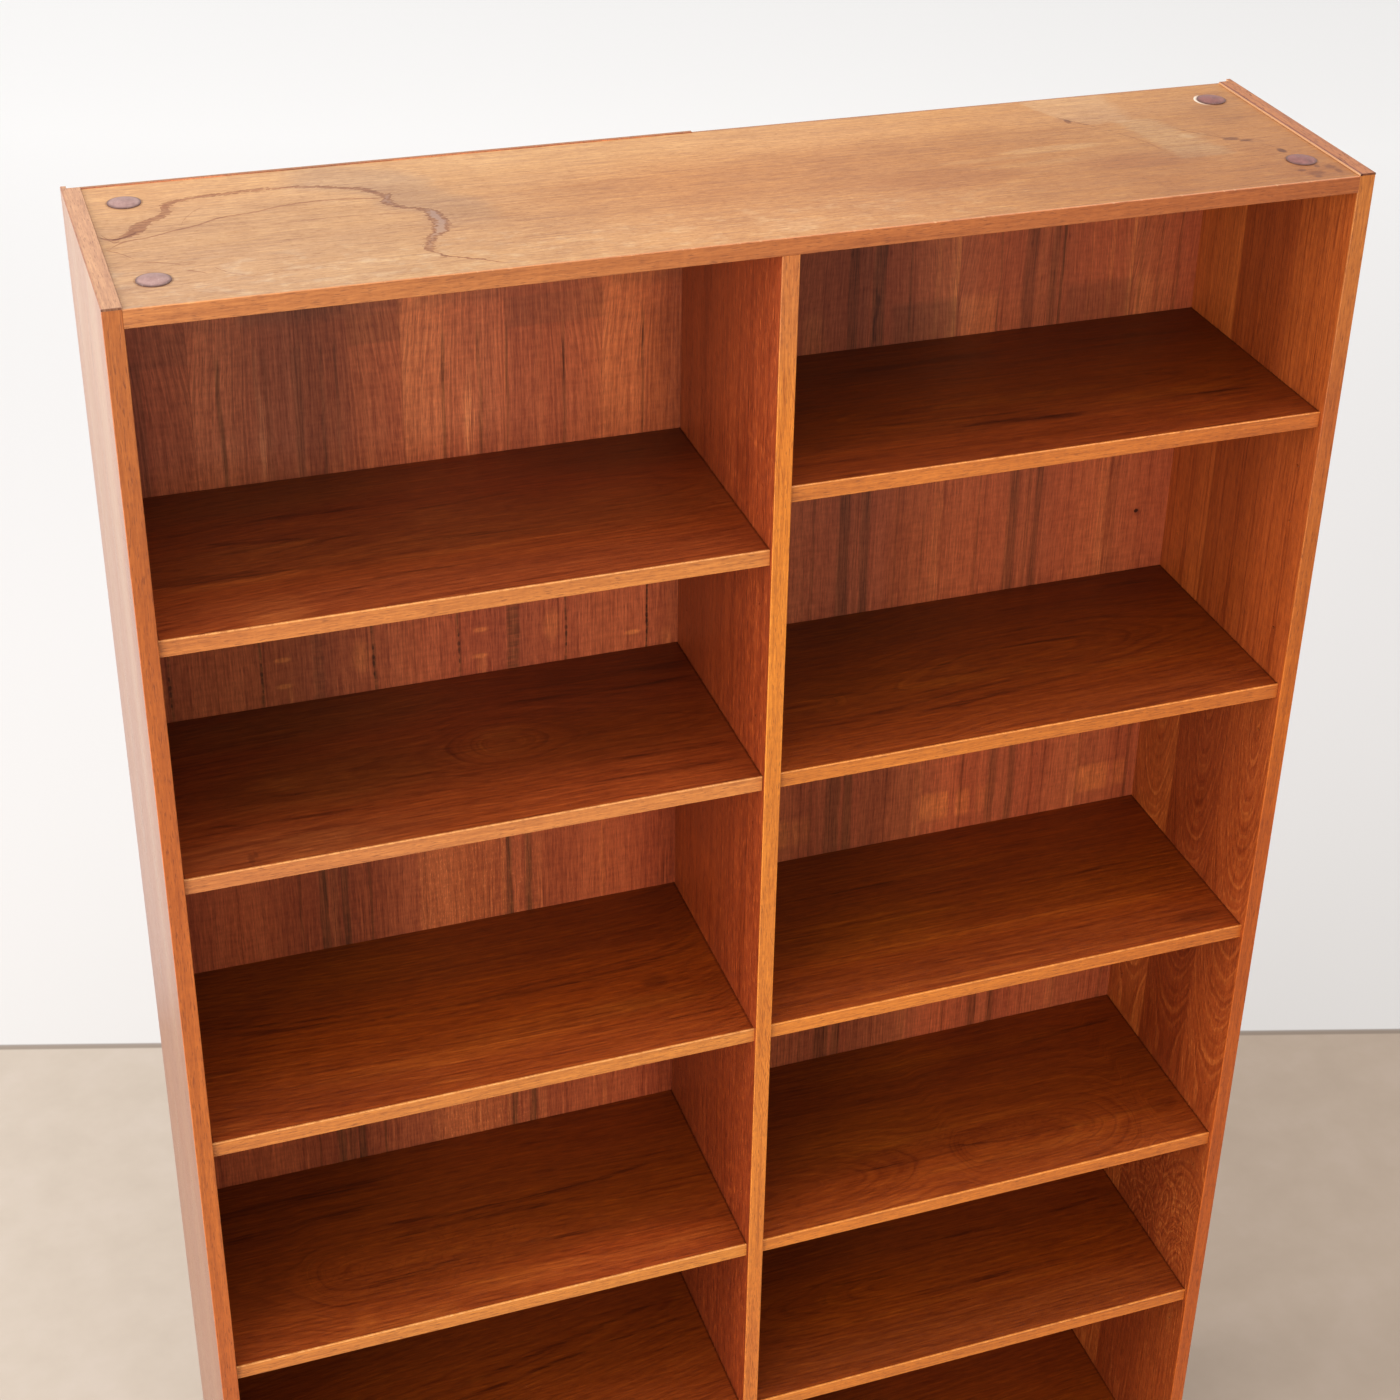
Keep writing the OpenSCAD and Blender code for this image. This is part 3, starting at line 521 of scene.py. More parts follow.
# ------------------------------------------------------------------ the two sides
def side(name, seed, outer, inner_tones):
    m = Wood(name, "ZYX", seed)
    m.leaves(-153.0, 101.0, False)
    m.normals()
    m.grow(wave=4.0, centre=41.0,
           depth=[(0, 60), (300, 44), (400, 64), (470, 120), (520, 176), (560, 214), (610, 236), (660, 232), (720, 226), (800, 200), (900, 156), (1000, 110), (1100, 66), (1180, 36), (1240, 16), (1300, 3), (1500, 0), (1880, 0)],
           warp=12.0, steep=2.3, rough=0.66)
    m.paint(SIDE_IN, fine=1.1, bands=0.34, broad=0.35, pores=0.5, grain=1.8, leaf_tone=0.0, ripple=0.14)
    # one leaf deeper than its neighbours, and all of it deeper lower down
    m.times(m.drift(m.y, inner_tones))
    m.times(m.drift(m.z, [(300, (0.84, 0.78, 0.76)), (560, (0.84, 0.78, 0.76)), (700, (0.9, 0.84, 0.8)), (900, (0.94, 0.88, 0.84)), (1150, (0.86, 0.80, 0.80)), (1300, (1.0, 0.98, 0.96)), (1500, (0.98, 0.92, 0.92)), (1700, (1.0, 1.02, 1.0)), (1880, (1.0, 1.02, 1.0))]))
    # and the middle leaf deepest where the arches close
    m.tint(m.mul(m.window(m.y, -51, 49, 1.0), m.window(m.z, 640, 880, 60.0)), (0.86, 0.80, 0.66), 0.8)
    m.tint(m.mul(m.window(m.y, -51, 49, 1.0), m.span(m.z, 1200, 1330)), (1.06, 1.14, 1.1), 0.9)
    m.tint(m.mul(m.span(m.y, -50.5, -52.0), m.span(m.z, 1560, 1200)), (0.88, 0.78, 0.77), 0.95)
    m.tint(m.mul(m.window(m.y, -51, 49, 1.0), m.window(m.z, 1330, 1560, 60.0)), (1.08, 1.16, 1.12), 0.9)
    m.tint(m.mul(m.span(m.y, 50.0, 52.0), m.span(m.z, 1560, 1640)), (1.14, 1.22, 1.26), 0.9)
    # thin pale growth lines that arch, in the lower two thirds
    arch = m.span(m.z, 1300, 1200, smooth=True)
    m.rings(8.5, 0.22, (1.42, 1.85, 2.1), 0.72, wander=1.2, mask=arch, patchy=0.9)
    m.rings(8.5, 0.26, (0.70, 0.58, 0.52), 0.7, wander=1.2, seed=5.0, mask=arch)
    m.flecks(8.0, 3.6, 0.60, 0.68, (1.4, 1.75, 2.0), 0.6, mask=arch, seed=3.0)
    # dark plain streaks where the grain is straight
    straight = m.span(m.z, 1250, 1330, smooth=True)
    m.streaks(15.0, 0.56, 0.64, (0.62, 0.50, 0.44), 0.75, 900.0, seed=3.0, mask=straight)
    m.streaks(26.0, 0.56, 0.68, (1.16, 1.32, 1.4), 0.5, 900.0, seed=5.0, mask=straight)
    # the swirl low down
    swirl = m.mul(m.window(m.z, 425, 545, 25.0), m.window(m.y, -125, 60, 20.0))
    q = m.noise(m.join(m.mul(m.z, 1 / 75.0), m.mul(m.y, 1 / 34.0), seed), 2.0, 0.45, warp=0.5)
    ql = m.abs(m.sub(m.math("FRACT", m.mul(q, 13.0)), 0.5))
    m.tint(m.mul(m.span(ql, 0.19, 0.06, smooth=True), m.mul(swirl, m.span(m.f0, 0.3, 0.6, 0.4, 1.0))), (1.5, 2.0, 2.3), 0.95)
    m.tint(m.mul(m.span(ql, 0.36, 0.46, smooth=True), swirl), (0.72, 0.62, 0.56), 0.7)
    for pts, w in (([(1880, -121), (1800, -117), (1700, -113), (1500, -112)], 3.0), ([(1880, -108), (1830, -104), (1760, -98)], 2.4), ([(1800, -76), (1650, -70), (1500, -66)], 2.2)):
        m.tint(m.line(pts[::-1], w, fade=40.0, wobble=2.0, grainy=0.7), (0.58, 0.46, 0.42), 0.8)
    joint = m.span(m.edge, 0.7, 0.15)
    m.tint(joint, (0.66, 0.56, 0.5), 0.5)
    inside = m.col
    # outer face: painted reflection, paler towards the top and in soft upright bands
    out = m.mix(1.0, m.mix(0.45, m.ramp(m.add(m.mul(m.sub(m.f2, 0.5), 0.9), m.add(m.mul(m.sub(m.f1, 0.5), 0.5), 0.5)),
                                    [(0.1, scale3(outer, (0.62, 0.55, 0.52))), (0.5, outer), (0.9, scale3(outer, (1.3, 1.4, 1.45)))]), outer),
                m.drift(m.y, [(-144, (0.92, 0.78, 0.74)), (-112, (0.94, 0.82, 0.78)), (-100, (0.98, 0.92, 0.9)), (-78, (1.06, 1.18, 1.28)), (-45, (1.06, 1.19, 1.3)), (-22, (0.96, 0.92, 0.92)), (-8, (0.94, 0.9, 0.9)), (14, (0.99, 0.98, 1.0)), (24, (0.93, 0.9, 0.9)), (50, (1.0, 1.06, 1.12)), (84, (1.02, 1.1, 1.16)), (96, (0.95, 0.92, 0.94)), (118, (0.97, 0.97, 1.0)), (144, (0.86, 0.74, 0.74))]), "MULTIPLY")
    out = m.mix(1.0, out, m.drift(m.z, [(0, (0.95, 0.9, 0.86)), (800, (0.87, 0.74, 0.63)), (1000, (0.83, 0.68, 0.55)), (1200, (0.96, 0.98, 0.98)), (1400, (1.02, 1.12, 1.18)), (1600, (1.1, 1.34, 1.5)), (1800, (1.27, 1.7, 2.15)), (1880, (1.27, 1.7, 2.15))]), "MULTIPLY")
    out = m.mix(m.mul(m.window(m.z, 1520, 1660, 70.0), m.span(m.y, -98, -108)), out, m.mix(1.0, out, (0.9, 0.8, 0.74), "MULTIPLY"))
    out = m.mix(m.mul(joint, 0.4), out, scale3(outer, 0.6))
    is_out = m.span(m.abs(m.x), 597.0, 599.0)
    m.col = m.mix(is_out, inside, out)
    m.core(17.0, 600.0 if seed < 2 else 600.0, faces="z")
    return m


m = side("wood_left_side", 1.0, SIDE_OUT, [(-144, (1.15, 1.25, 1.2)), (-53, (1.08, 1.1, 1.05)), (-51, (0.82, 0.7, 0.66)), (48, (0.82, 0.7, 0.66)), (50, (1.1, 1.15, 1.1)), (144, (1.0, 0.95, 0.9))])
use(m.finish(rough=0.30, bump=0.2, gloss=0.9), "left_side")
m = side("wood_right_side", 2.0, SIDE_OUT, [(-144, (1.15, 1.25, 1.2)), (-53, (1.08, 1.1, 1.05)), (-51, (0.82, 0.7, 0.66)), (48, (0.82, 0.7, 0.66)), (50, (1.3, 1.45, 1.4)), (144, (1.1, 1.1, 1.0))])
use(m.finish(rough=0.42, bump=0.25, gloss=0.5), "right_side")

# ------------------------------------------------------------------ divider
m = Wood("wood_divider", "ZYX", 4.0)
m.grow(wave=6.0)
m.paint(DIVIDER, fine=1.2, bands=0.5, broad=0.5, pores=0.4, grain=1.7, ripple=0.1)
# painted light: brighter towards the front, where the light reaches into the bays, and painted shade towards the back
m.times(m.drift(m.y, [(-144, (1.12, 1.13, 1.08)), (-60, (1.02, 1.0, 0.98)), (60, (0.93, 0.98, 0.98)), (138, (0.88, 0.96, 0.94))]))
m.times(m.drift(m.z, [(300, (0.86, 0.74, 0.5)), (850, (0.88, 0.76, 0.50)), (1150, (0.98, 0.88, 0.66)), (1450, (0.98, 0.9, 0.72)), (1750, (0.99, 0.97, 0.95))]))
m.tint(m.mul(m.window(m.z, 975, 1080, 30.0), m.window(m.y, 10, 130, 20.0)), (1.18, 1.16, 0.95), 0.95)
m.streaks(14.0, 0.54, 0.68, (0.86, 0.80, 0.78), 0.7, 600.0, seed=3.0)
foot = m.add(m.span(m.z, 900, 820), m.add(m.window(m.z, 1555, 1610, 25.0), m.window(m.z, 975, 1050, 20.0)))
near = m.low(m.add(m.span(m.y, 60, -100, 0.15, 1.0, smooth=True), m.mul(foot, 0.3)), 1.0)
m.flecks(15.0, 3.4, 0.57, 0.65, (1.45, 1.8, 1.9), 0.9, mask=near)
m.flecks(34.0, 3.0, 0.57, 0.65, (1.24, 1.38, 1.36), 0.6, mask=near, seed=9.0)
m.flecks(34.0, 3.0, 0.57, 0.65, (0.62, 0.50, 0.44), 0.75, mask=near, seed=4.0)
m.flecks(90.0, 3.0, 0.55, 0.63, (0.62, 0.5, 0.45), 0.65, mask=m.mul(m.low(foot, 1.0), m.window(m.y, -95, 60, 20.0)), seed=6.0)
m.core(17.0, 8.5, faces="z")
use(m.finish(rough=0.46, bump=0.45, gloss=0.45), "centre_divider")


# ------------------------------------------------------------------ back panels
def back_panel(name, seed, mid, first_dark, m_band):
    """Book-matched leaves: the dark wood of each leaf meets the dark wood of its neighbour at every other joint."""
    m = Wood(name, "ZXY", seed)
    m.leaves(first_dark, 102.6, True)          # gb: 0 at a dark joint, 102.6 at a light one
    m.normals()
    bend = m.curve(m.z, [(0, 0), (1500, 0), (1600, 2), (1700, 12), (1780, 22), (1880, 26)])
    m.gb = m.add(m.gb, m.mul(bend, m.math("POWER", m.mul(m.gb, 1 / 102.6), 1.6)))
    m.grow(wave=3.0)
    m.paint(mid, fine=1.1, bands=0.35, broad=0.25, pores=0.5, grain=1.1, leaf_tone=0.10, ripple=0.30)
    sway = m.mul(m.sub(m.noise(m.join(m.mul(m.z, 1 / 70.0), m.mul(m.x, 1 / 60.0), seed), 2.0, 0.5), 0.5), 7.0)
    m.xs = m.add(m.x, sway)
    m.fibre = m.span(m.f1, 0.34, 0.58, 1.0, 0.5)
    s = m.add(m.gb, m.mul(m.sub(m.noise(m.join(m.mul(m.z, 1 / 240.0), 1.0, seed), 2.0), 0.5), 16.0))
    m.times(m.drift(s, [(0, (0.90, 0.86, 0.88)), (20, (0.82, 0.76, 0.78)), (45, (0.90, 0.84, 0.84)), (62, (1.0, 0.98, 0.95)), (80, (1.12, 1.16, 1.12)), (103, (1.12, 1.18, 1.12))]))
    # the dark streaks beside the dark joint, and thinner ones elsewhere
    body = m.span(m.f1, 0.34, 0.6, 1.0, 0.45)
    m.tint(m.mul(m.window(s, 9.0, 15.0, 3.5), body), (0.62, 0.56, 0.62), m_band)
    m.tint(m.mul(m.window(s, 53.0, 54.0, 1.2), body), (0.5, 0.42, 0.46), 0.6)
    m.streaks(4.0, 0.58, 0.68, (0.62, 0.60, 0.62), 0.55, 260.0, seed=2.0)
    m.streaks(5.0, 0.58, 0.68, (1.24, 1.36, 1.32), 0.45, 260.0, seed=8.0)
    m.tint(m.span(m.edge, 0.8, 0.2), (0.62, 0.52, 0.5), 0.6)
    return m, s


def back_rear(m, seed):
    """The side towards the wall: a plain, paler balancing veneer."""
    g1 = m.noise(m.join(m.mul(m.z, 1 / 160.0), m.mul(m.x, 1 / 2.2), seed), 3.0, 0.6)
    g2 = m.noise(m.join(m.mul(m.z, 1 / 500.0), m.mul(m.x, 1 / 45.0), seed + 3), 2.0, 0.5)
    plain = m.ramp(m.add(m.mul(m.sub(g1, 0.5), 0.8), m.add(m.mul(m.sub(g2, 0.5), 1.0), 0.5)),
                   [(0.1, srgb(128, 84, 58)), (0.5, srgb(164, 116, 84)), (0.9, srgb(190, 146, 110))])
    m.col = m.mix(m.span(m.ny, 0.3, 0.7), m.col, plain)
    g3 = m.noise(m.join(m.mul(m.z, 1 / 40.0), m.mul(m.x, 1 / 1.2), seed + 7), 3.0, 0.65)
    plain = m.mix(1.0, plain, m.ramp(g3, [(0.25, (0.7, 0.66, 0.64)), (0.5, (0.98, 0.98, 0.98)), (0.75, (1.16, 1.18, 1.18))]), "MULTIPLY")
    g4 = m.noise(m.join(m.mul(m.z, 1 / 9.0), m.mul(m.x, 1 / 0.9), seed + 9), 1.0)
    plain = m.mix(m.span(g4, 0.62, 0.72, 0.0, 0.45), plain, srgb(78, 46, 30))
    plain = m.mix(m.span(m.abs(m.x), 1.4, 0.3, 0.0, 0.8), plain, srgb(58, 34, 22))
    plain = m.mix(m.span(m.z, 180.0, 20.0, 0.0, 0.25), plain, srgb(104, 82, 66))
    # the sawn edge of the thin board
    m.col = m.mix(m.span(m.abs(m.ny), 0.4, 0.2), m.col, m.ramp(g1, [(0.2, srgb(124, 76, 46)), (0.8, srgb(170, 114, 72))]))


m, s = back_panel("wood_back_left", 5.0, BACK_L, -606.2, 0.35)
upper = m.span(m.z, 1540, 1600)
# the top compartment: bright and dark leaves
m.times(m.mix(upper, (1, 1, 1), m.drift(m.x, [(-583, (0.9, 0.9, 1.0)), (-506, (0.88, 0.9, 1.0)), (-503, (1.08, 1.2, 1.35)), (-450, (1.0, 1.1, 1.25)), (-420, (0.86, 0.9, 1.0)),
                                               (-352, (0.86, 0.88, 0.98)), (-348, (1.02, 1.05, 1.1)), (-300, (1.0, 1.0, 1.05)), (-297, (1.3, 1.55, 1.5)), (-215, (1.35, 1.65, 1.6)),
                                               (-194, (1.3, 1.45, 1.4)), (-190, (1.1, 1.15, 1.15)), (-96, (1.05, 1.1, 1.1)), (-92, (1.3, 1.5, 1.4)), (-40, (1.1, 1.2, 1.1)), (-10, (0.85, 0.85, 0.85))])))
m.times(m.drift(m.x, [(-583, (1.14, 1.28, 1.3)), (-540, (1.08, 1.16, 1.14)), (-500, (1.06, 1.1, 1.06)), (-450, (1.1, 1.26, 1.2)), (-400, (1.0, 1.16, 1.1)), (-370, (1.08, 1.26, 1.18)), (-330, (0.98, 1.04, 1.02)),
                      (-290, (1.0, 0.97, 0.98)), (-250, (1.1, 1.1, 1.12)), (-220, (1.18, 1.2, 1.22)), (-170, (1.12, 1.18, 1.18)), (-130, (0.95, 0.92, 0.94)), (-80, (0.98, 0.94, 0.92)), (-50, (1.12, 1.14, 1.12)), (-8, (1.05, 1.1, 1.0))]))
# top compartment again: a painted greyish sheen at its left
m.times(m.mix(upper, (1, 1, 1), m.drift(m.x, [(-583, (1.1, 1.18, 1.32)), (-350, (1.09, 1.18, 1.3)), (-200, (1.0, 1.04, 1.12)), (-8, (1.0, 1.0, 1.0))])))
# top compartment: painted shadow of the top board across the head of the panel, stronger in squares on some leaves,
# above the bright leaves
head = m.window(m.z, 1696, 1900, 5.0)
m.bars(m.xs, [(-600, -505, 3.0, (0.88, 0.91, 0.93)), (-348, -299, 2.5, (0.82, 0.86, 0.86)), (-190, -93, 4.0, (0.82, 0.86, 0.88))], mask=m.mul(head, m.window(m.z, 1600, 1724, 4.0)))
m.bars(m.x, [(-583, -480, 10.0, (0.90, 0.94, 0.98)), (-450, -300, 8.0, (0.78, 0.87, 0.95)), (-280, -96, 8.0, (0.84, 0.88, 0.91)), (-80, -8, 6.0, (0.82, 0.86, 0.88))], mask=m.span(m.z, 1718, 1734, smooth=True))
m.bars(m.xs, [(-556, -549, 2.0, (0.64, 0.71, 0.72)), (-478, -475, 1.5, (0.60, 0.69, 0.68)), (-440, -437, 2.0, (1.20, 1.40, 1.40)), (-432, -428, 1.5, (0.78, 0.82, 0.82)), (-404, -399, 3.0, (0.74, 0.81, 0.84)),
              (-379, -377, 1.2, (0.64, 0.71, 0.74)), (-364, -362, 1.2, (0.68, 0.74, 0.77)), (-258, -256, 1.0, (0.58, 0.65, 0.61)), (-221, -219, 1.2, (0.58, 0.65, 0.61)), (-193, -191, 1.0, (0.60, 0.67, 0.63)),
              (-160, -156, 2.0, (1.20, 1.30, 1.25)), (-134, -132, 1.0, (0.54, 0.62, 0.58)), (-50, -48.5, 1.0, (0.54, 0.62, 0.58)), (-40, -8, 14.0, (0.88, 0.88, 0.81))], mask=m.mul(m.window(m.z, 1560, 1690, 18.0), m.fibre))
m.tint(m.mul(m.patch(1605, -232, 52, 5, 0.8), m.span(m.f1, 0.4, 0.6)), (1.5, 1.9, 1.8), 0.8)
m.tint(m.mul(m.patch(1615, -437, 45, 4, 0.8), m.span(m.f1, 0.4, 0.6)), (1.4, 1.7, 1.7), 0.7)
# painted sheen: the upper compartment paler and greyer at its left
m.tint(m.mul(m.window(m.x, -583, -415, 30.0), upper), (1.12, 1.16, 1.26), 0.95)
m.tint(m.mul(m.window(m.x, -390, -50, 40.0), m.window(m.z, 1285, 1450, 12.0)), (1.12, 1.13, 1.2), 0.95)
for kx, kz, kh in ((-257, 1655, 12), (-133, 1652, 22), (-49.5, 1668, 12)):
    m.tint(m.patch(kz, kx, kh, 1.1, 0.6, 0.5), (0.36, 0.3, 0.32), 0.7)
# second compartment: dotted dark lines with a knot on each, a light flare beside some
gap = m.window(m.z, 1285, 1450, 12.0)
m.bars(m.xs, [(-552, -550, 0.8, (0.40, 0.54, 0.49)), (-459, -457.5, 0.8, (0.42, 0.55, 0.52)), (-404, -395, 3.0, (0.72, 0.77, 0.79)), (-342.8, -341.4, 0.8, (0.42, 0.55, 0.51)), (-252, -250.4, 0.8, (0.38, 0.51, 0.45)),
              (-197, -187, 3.0, (0.52, 0.61, 0.56)), (-135, -133.6, 0.8, (0.34, 0.48, 0.42)), (-45, -43.6, 0.8, (0.32, 0.46, 0.40))], mask=m.mul(gap, m.span(m.noise(m.join(m.mul(m.z, 1 / 5.0), m.mul(m.x, 1 / 40.0), 3.0), 2.0, 0.6), 0.38, 0.56, 0.45, 1.0)))
for kx in (-551, -458, -342, -251, -134, -44):
    for kz, kh, kw in ((1331, 4, 1.3), (1339, 3, 1.6), (1350, 2.5, 1.0), (1318, 2.5, 0.9)):
        m.tint(m.patch(kz, kx, kh, kw, 0.8, 0.5), (0.26, 0.24, 0.28), 0.8)
for kx, kz, rx in ((-355, 1342, 9), (-150, 1345, 9), (-560, 1335, 6)):
    m.tint(m.patch(kz, kx, 18, rx, 1.0), (1.36, 1.6, 1.34), 0.8)
for kx, kz in ((-436, 1320), (-436, 1352), (-229, 1320), (-227, 1352), (-60, 1320)):
    m.tint(m.patch(kz, kx, 2.8, 8, 0.9), (1.55, 2.0, 1.5), 0.9)
for kx, kw in ((-430, 2.0), (-227, 5.0), (-22, 5.0)):
    m.tint(m.mul(m.patch(1306, kx, 13, kw, 0.9), m.span(m.f1, 0.4, 0.6, 0.4, 1.0)), (1.35, 1.6, 1.4), 0.8)
# third: two pairs of near-black streaks
deep = m.window(m.z, 560, 1130, 14.0)
m.bars(m.xs, [(-415, -408, 2.0, (0.38, 0.56, 0.49)), (-404, -396, 1.5, (0.74, 0.84, 0.79)), (-391, -385, 2.0, (0.40, 0.57, 0.51)), (-207, -201, 1.5, (0.40, 0.57, 0.51)), (-184, -178, 1.5, (0.40, 0.57, 0.51)), (-24, -8, 6.0, (0.84, 0.83, 0.75))], mask=m.mul(deep, m.fibre))
m.bars(m.xs, [(-437, -436, 1.0, (0.60, 0.67, 0.61)), (-361, -359, 1.0, (0.64, 0.70, 0.65)), (-305, -216, 0.8, (1.16, 1.26, 1.16)), (-213, -209.5, 0.8, (1.30, 1.50, 1.30)), (-174, -166, 2.0, (1.16, 1.24, 1.20)), (-96, -93, 1.5, (1.20, 1.30, 1.20))], mask=deep)
m.flecks(5.0, 1.6, 0.60, 0.68, (1.4, 1.8, 1.9), 0.6, mask=m.mul(deep, m.window(m.x, -300, -180, 20.0)))
low = m.span(m.z, 1130, 1090)
m.times(m.mix(low, (1, 1, 1), m.drift(m.x, [(-583, (1.05, 0.95, 0.9)), (-430, (0.92, 0.82, 0.8)), (-300, (0.95, 0.95, 0.95)), (-240, (1.06, 1.12, 1.0)), (-100, (1.0, 0.95, 0.9)), (-10, (0.86, 0.7, 0.66))])))
back_rear(m, 5.5)
use(m.finish(rough=0.44, bump=0.4, gloss=0.5), "left_back_panel")

m, s = back_panel("wood_back_right", 6.0, BACK_R, -7.2, 0.35)
up = m.span(m.z, 1560, 1620)
m.times(m.mix(up, (1, 1, 1), m.drift(m.x, [(8, (0.86, 0.82, 0.9)), (150, (0.9, 0.88, 0.95)), (230, (0.86, 0.84, 0.9)), (298, (1.0, 1.05, 1.1)), (302, (0.95, 0.95, 1.0)), (380, (0.95, 0.92, 0.95)),
                                            (440, (1.1, 1.15, 1.1)), (500, (1.0, 1.0, 1.0)), (505, (1.15, 1.3, 1.2)), (583, (1.1, 1.15, 1.05))])))
for x0 in (298.0, 503.0):
    m.tint(m.window(m.xs, x0 - 9.0, x0 - 1.0, 3.0), (1.22, 1.34, 1.26), 0.6)
m.times(m.drift(m.x, [(118, (1.0, 1.05, 1.14)), (150, (1.1, 1.2, 1.28)), (180, (1.1, 1.22, 1.3)), (215, (1.1, 1.16, 1.2)), (240, (1.0, 1.06, 1.12)), (280, (0.97, 0.96, 1.03)), (305, (0.93, 0.88, 0.96)),
                      (340, (1.05, 1.02, 1.06)), (375, (1.12, 1.14, 1.16)), (405, (1.03, 1.08, 1.12)), (440, (1.06, 1.06, 1.12)), (480, (1.0, 0.97, 1.02)), (515, (0.88, 0.84, 0.92)), (550, (0.95, 0.92, 0.97)), (583, (1.04, 1.04, 1.06))]))
m.times(m.mix(up, (1, 1, 1), m.drift(m.x, [(118, (0.95, 0.96, 1.0)), (260, (0.95, 1.0, 1.06)), (400, (0.95, 1.0, 1.06)), (450, (0.86, 0.84, 0.94)), (583, (0.86, 0.82, 0.92))])))
# each compartment shows its own run of dark pairs and light threads
m.bars(m.xs, [(120, 168, 6.0, (0.90, 0.94, 0.98)), (174, 184, 3.0, (0.54, 0.66, 0.68)), (188, 196, 2.0, (0.78, 0.85, 0.91)), (202, 213, 3.0, (0.46, 0.60, 0.60)), (243, 244.5, 1.0, (0.60, 0.69, 0.67)), (273, 276, 1.5, (1.25, 1.42, 1.30)), (295, 298, 1.2, (1.30, 1.50, 1.30)),
              (346, 347.5, 0.8, (0.54, 0.62, 0.58)), (376, 388, 2.5, (0.58, 0.67, 0.68)), (392, 397, 1.5, (1.15, 1.25, 1.15)), (407, 414, 2.0, (0.60, 0.67, 0.65)), (418.5, 421, 0.8, (0.44, 0.57, 0.52)), (453, 456, 1.5, (1.28, 1.42, 1.30)), (477, 480, 1.2, (1.30, 1.50, 1.30)),
              (501, 504, 1.2, (1.30, 1.50, 1.30)), (514, 516, 1.2, (0.70, 0.74, 0.72)), (536, 538, 1.2, (0.72, 0.76, 0.74)), (559, 561, 0.8, (0.60, 0.67, 0.63))], mask=m.mul(m.span(m.z, 1560, 1600), m.fibre))
m.bars(m.xs, [(146, 147.2, 0.8, (0.68, 0.73, 0.70)), (177, 188, 2.5, (0.52, 0.63, 0.61)), (192, 199, 2.0, (0.84, 0.88, 0.88)), (203, 212, 2.5, (0.50, 0.61, 0.60)), (244, 246, 1.0, (0.74, 0.77, 0.75)), (276, 278, 1.0, (0.76, 0.79, 0.77)),
              (343, 344.5, 1.0, (0.68, 0.73, 0.70)), (380, 390, 2.0, (0.54, 0.62, 0.60)), (404, 406, 1.5, (0.78, 0.82, 0.81)), (413, 419, 2.0, (0.60, 0.67, 0.63)), (505, 514, 5.0, (0.82, 0.83, 0.81))], mask=m.mul(m.window(m.z, 1220, 1540, 20.0), m.fibre))
m.bars(m.xs, [(156, 158, 1.0, (0.64, 0.70, 0.65)), (177, 192, 3.0, (0.54, 0.64, 0.60)), (199, 208, 2.0, (0.48, 0.60, 0.54)), (222, 292, 6.0, (0.82, 0.85, 0.82)), (347, 349, 1.0, (0.70, 0.74, 0.70)), (384, 392, 2.5, (0.56, 0.64, 0.60)), (410, 417, 2.0, (0.54, 0.62, 0.58)),
              (440, 442, 1.0, (0.72, 0.76, 0.72)), (502, 503.5, 0.8, (0.68, 0.71, 0.67)), (568, 571, 1.5, (0.60, 0.65, 0.60))], mask=m.mul(m.span(m.z, 1200, 1160), m.fibre))
m.tint(m.mul(m.window(m.x, 90, 225, 20.0), m.window(m.z, 1220, 1540, 20.0)), (1.08, 1.14, 1.3), 0.95)
m.tint(m.mul(m.window(m.x, 200, 310, 20.0), up), (1.07, 1.13, 1.2), 0.95)
m.tint(m.mul(m.window(m.x, 325, 440, 20.0), m.span(m.z, 1200, 1160)), (1.1, 1.05, 1.03), 0.95)
# the dark blotches and bright squares just above the top shelf
foot = m.span(m.z, 1674, 1662, smooth=True)
m.bars(m.xs, [(126, 148, 3.0, (1.15, 1.24, 1.15)), (228, 297, 8.0, (0.74, 0.79, 0.81)), (298.5, 344, 1.5, (1.22, 1.36, 1.22)), (352, 372, 5.0, (1.06, 1.10, 1.05)), (432, 502, 8.0, (0.76, 0.80, 0.82)), (503.5, 532, 2.0, (1.20, 1.30, 1.20)), (538, 560, 3.0, (1.08, 1.14, 1.08))], mask=m.mul(foot, m.span(m.z, 1560, 1600)))
m.tint(m.line([(1625, 206), (1650, 205), (1672, 208), (1686, 207)], 3.5, fade=8, wobble=2, grainy=0.3), (0.3, 0.26, 0.32), 0.8)
# cross-grain ripple that catches the light
ripple = m.span(m.noise(m.join(m.mul(m.z, 1 / 16.0), m.mul(m.x, 1 / 9.0), 2.0), 1.0), 0.25, 0.7, 0.45, 1.0)
glow = m.window(m.z, 998, 1026, 9.0)
m.bars(m.xs, [(119, 131, 3.0, (1.30, 1.50, 1.20)), (137, 155, 5.0, (1.20, 1.34, 1.15)), (298, 333, 1.5, (1.42, 1.70, 1.30)), (344, 360, 3.0, (1.34, 1.55, 1.24)), (372, 384, 4.0, (1.16, 1.24, 1.10)), (505, 545, 2.0, (1.42, 1.66, 1.30)), (553, 566, 3.0, (1.30, 1.50, 1.20))], mask=m.mul(glow, ripple))
m.tint(m.patch(1376, 543, 2.6, 2.6, 0.5, 0.3), (0.12, 0.1, 0.12), 1.0)
m.tint(m.patch(1374, 545, 4.5, 4, 0.9), (0.5, 0.42, 0.42), 0.6)
back_rear(m, 6.5)
use(m.finish(rough=0.44, bump=0.4, gloss=0.5), "right_back_panel")

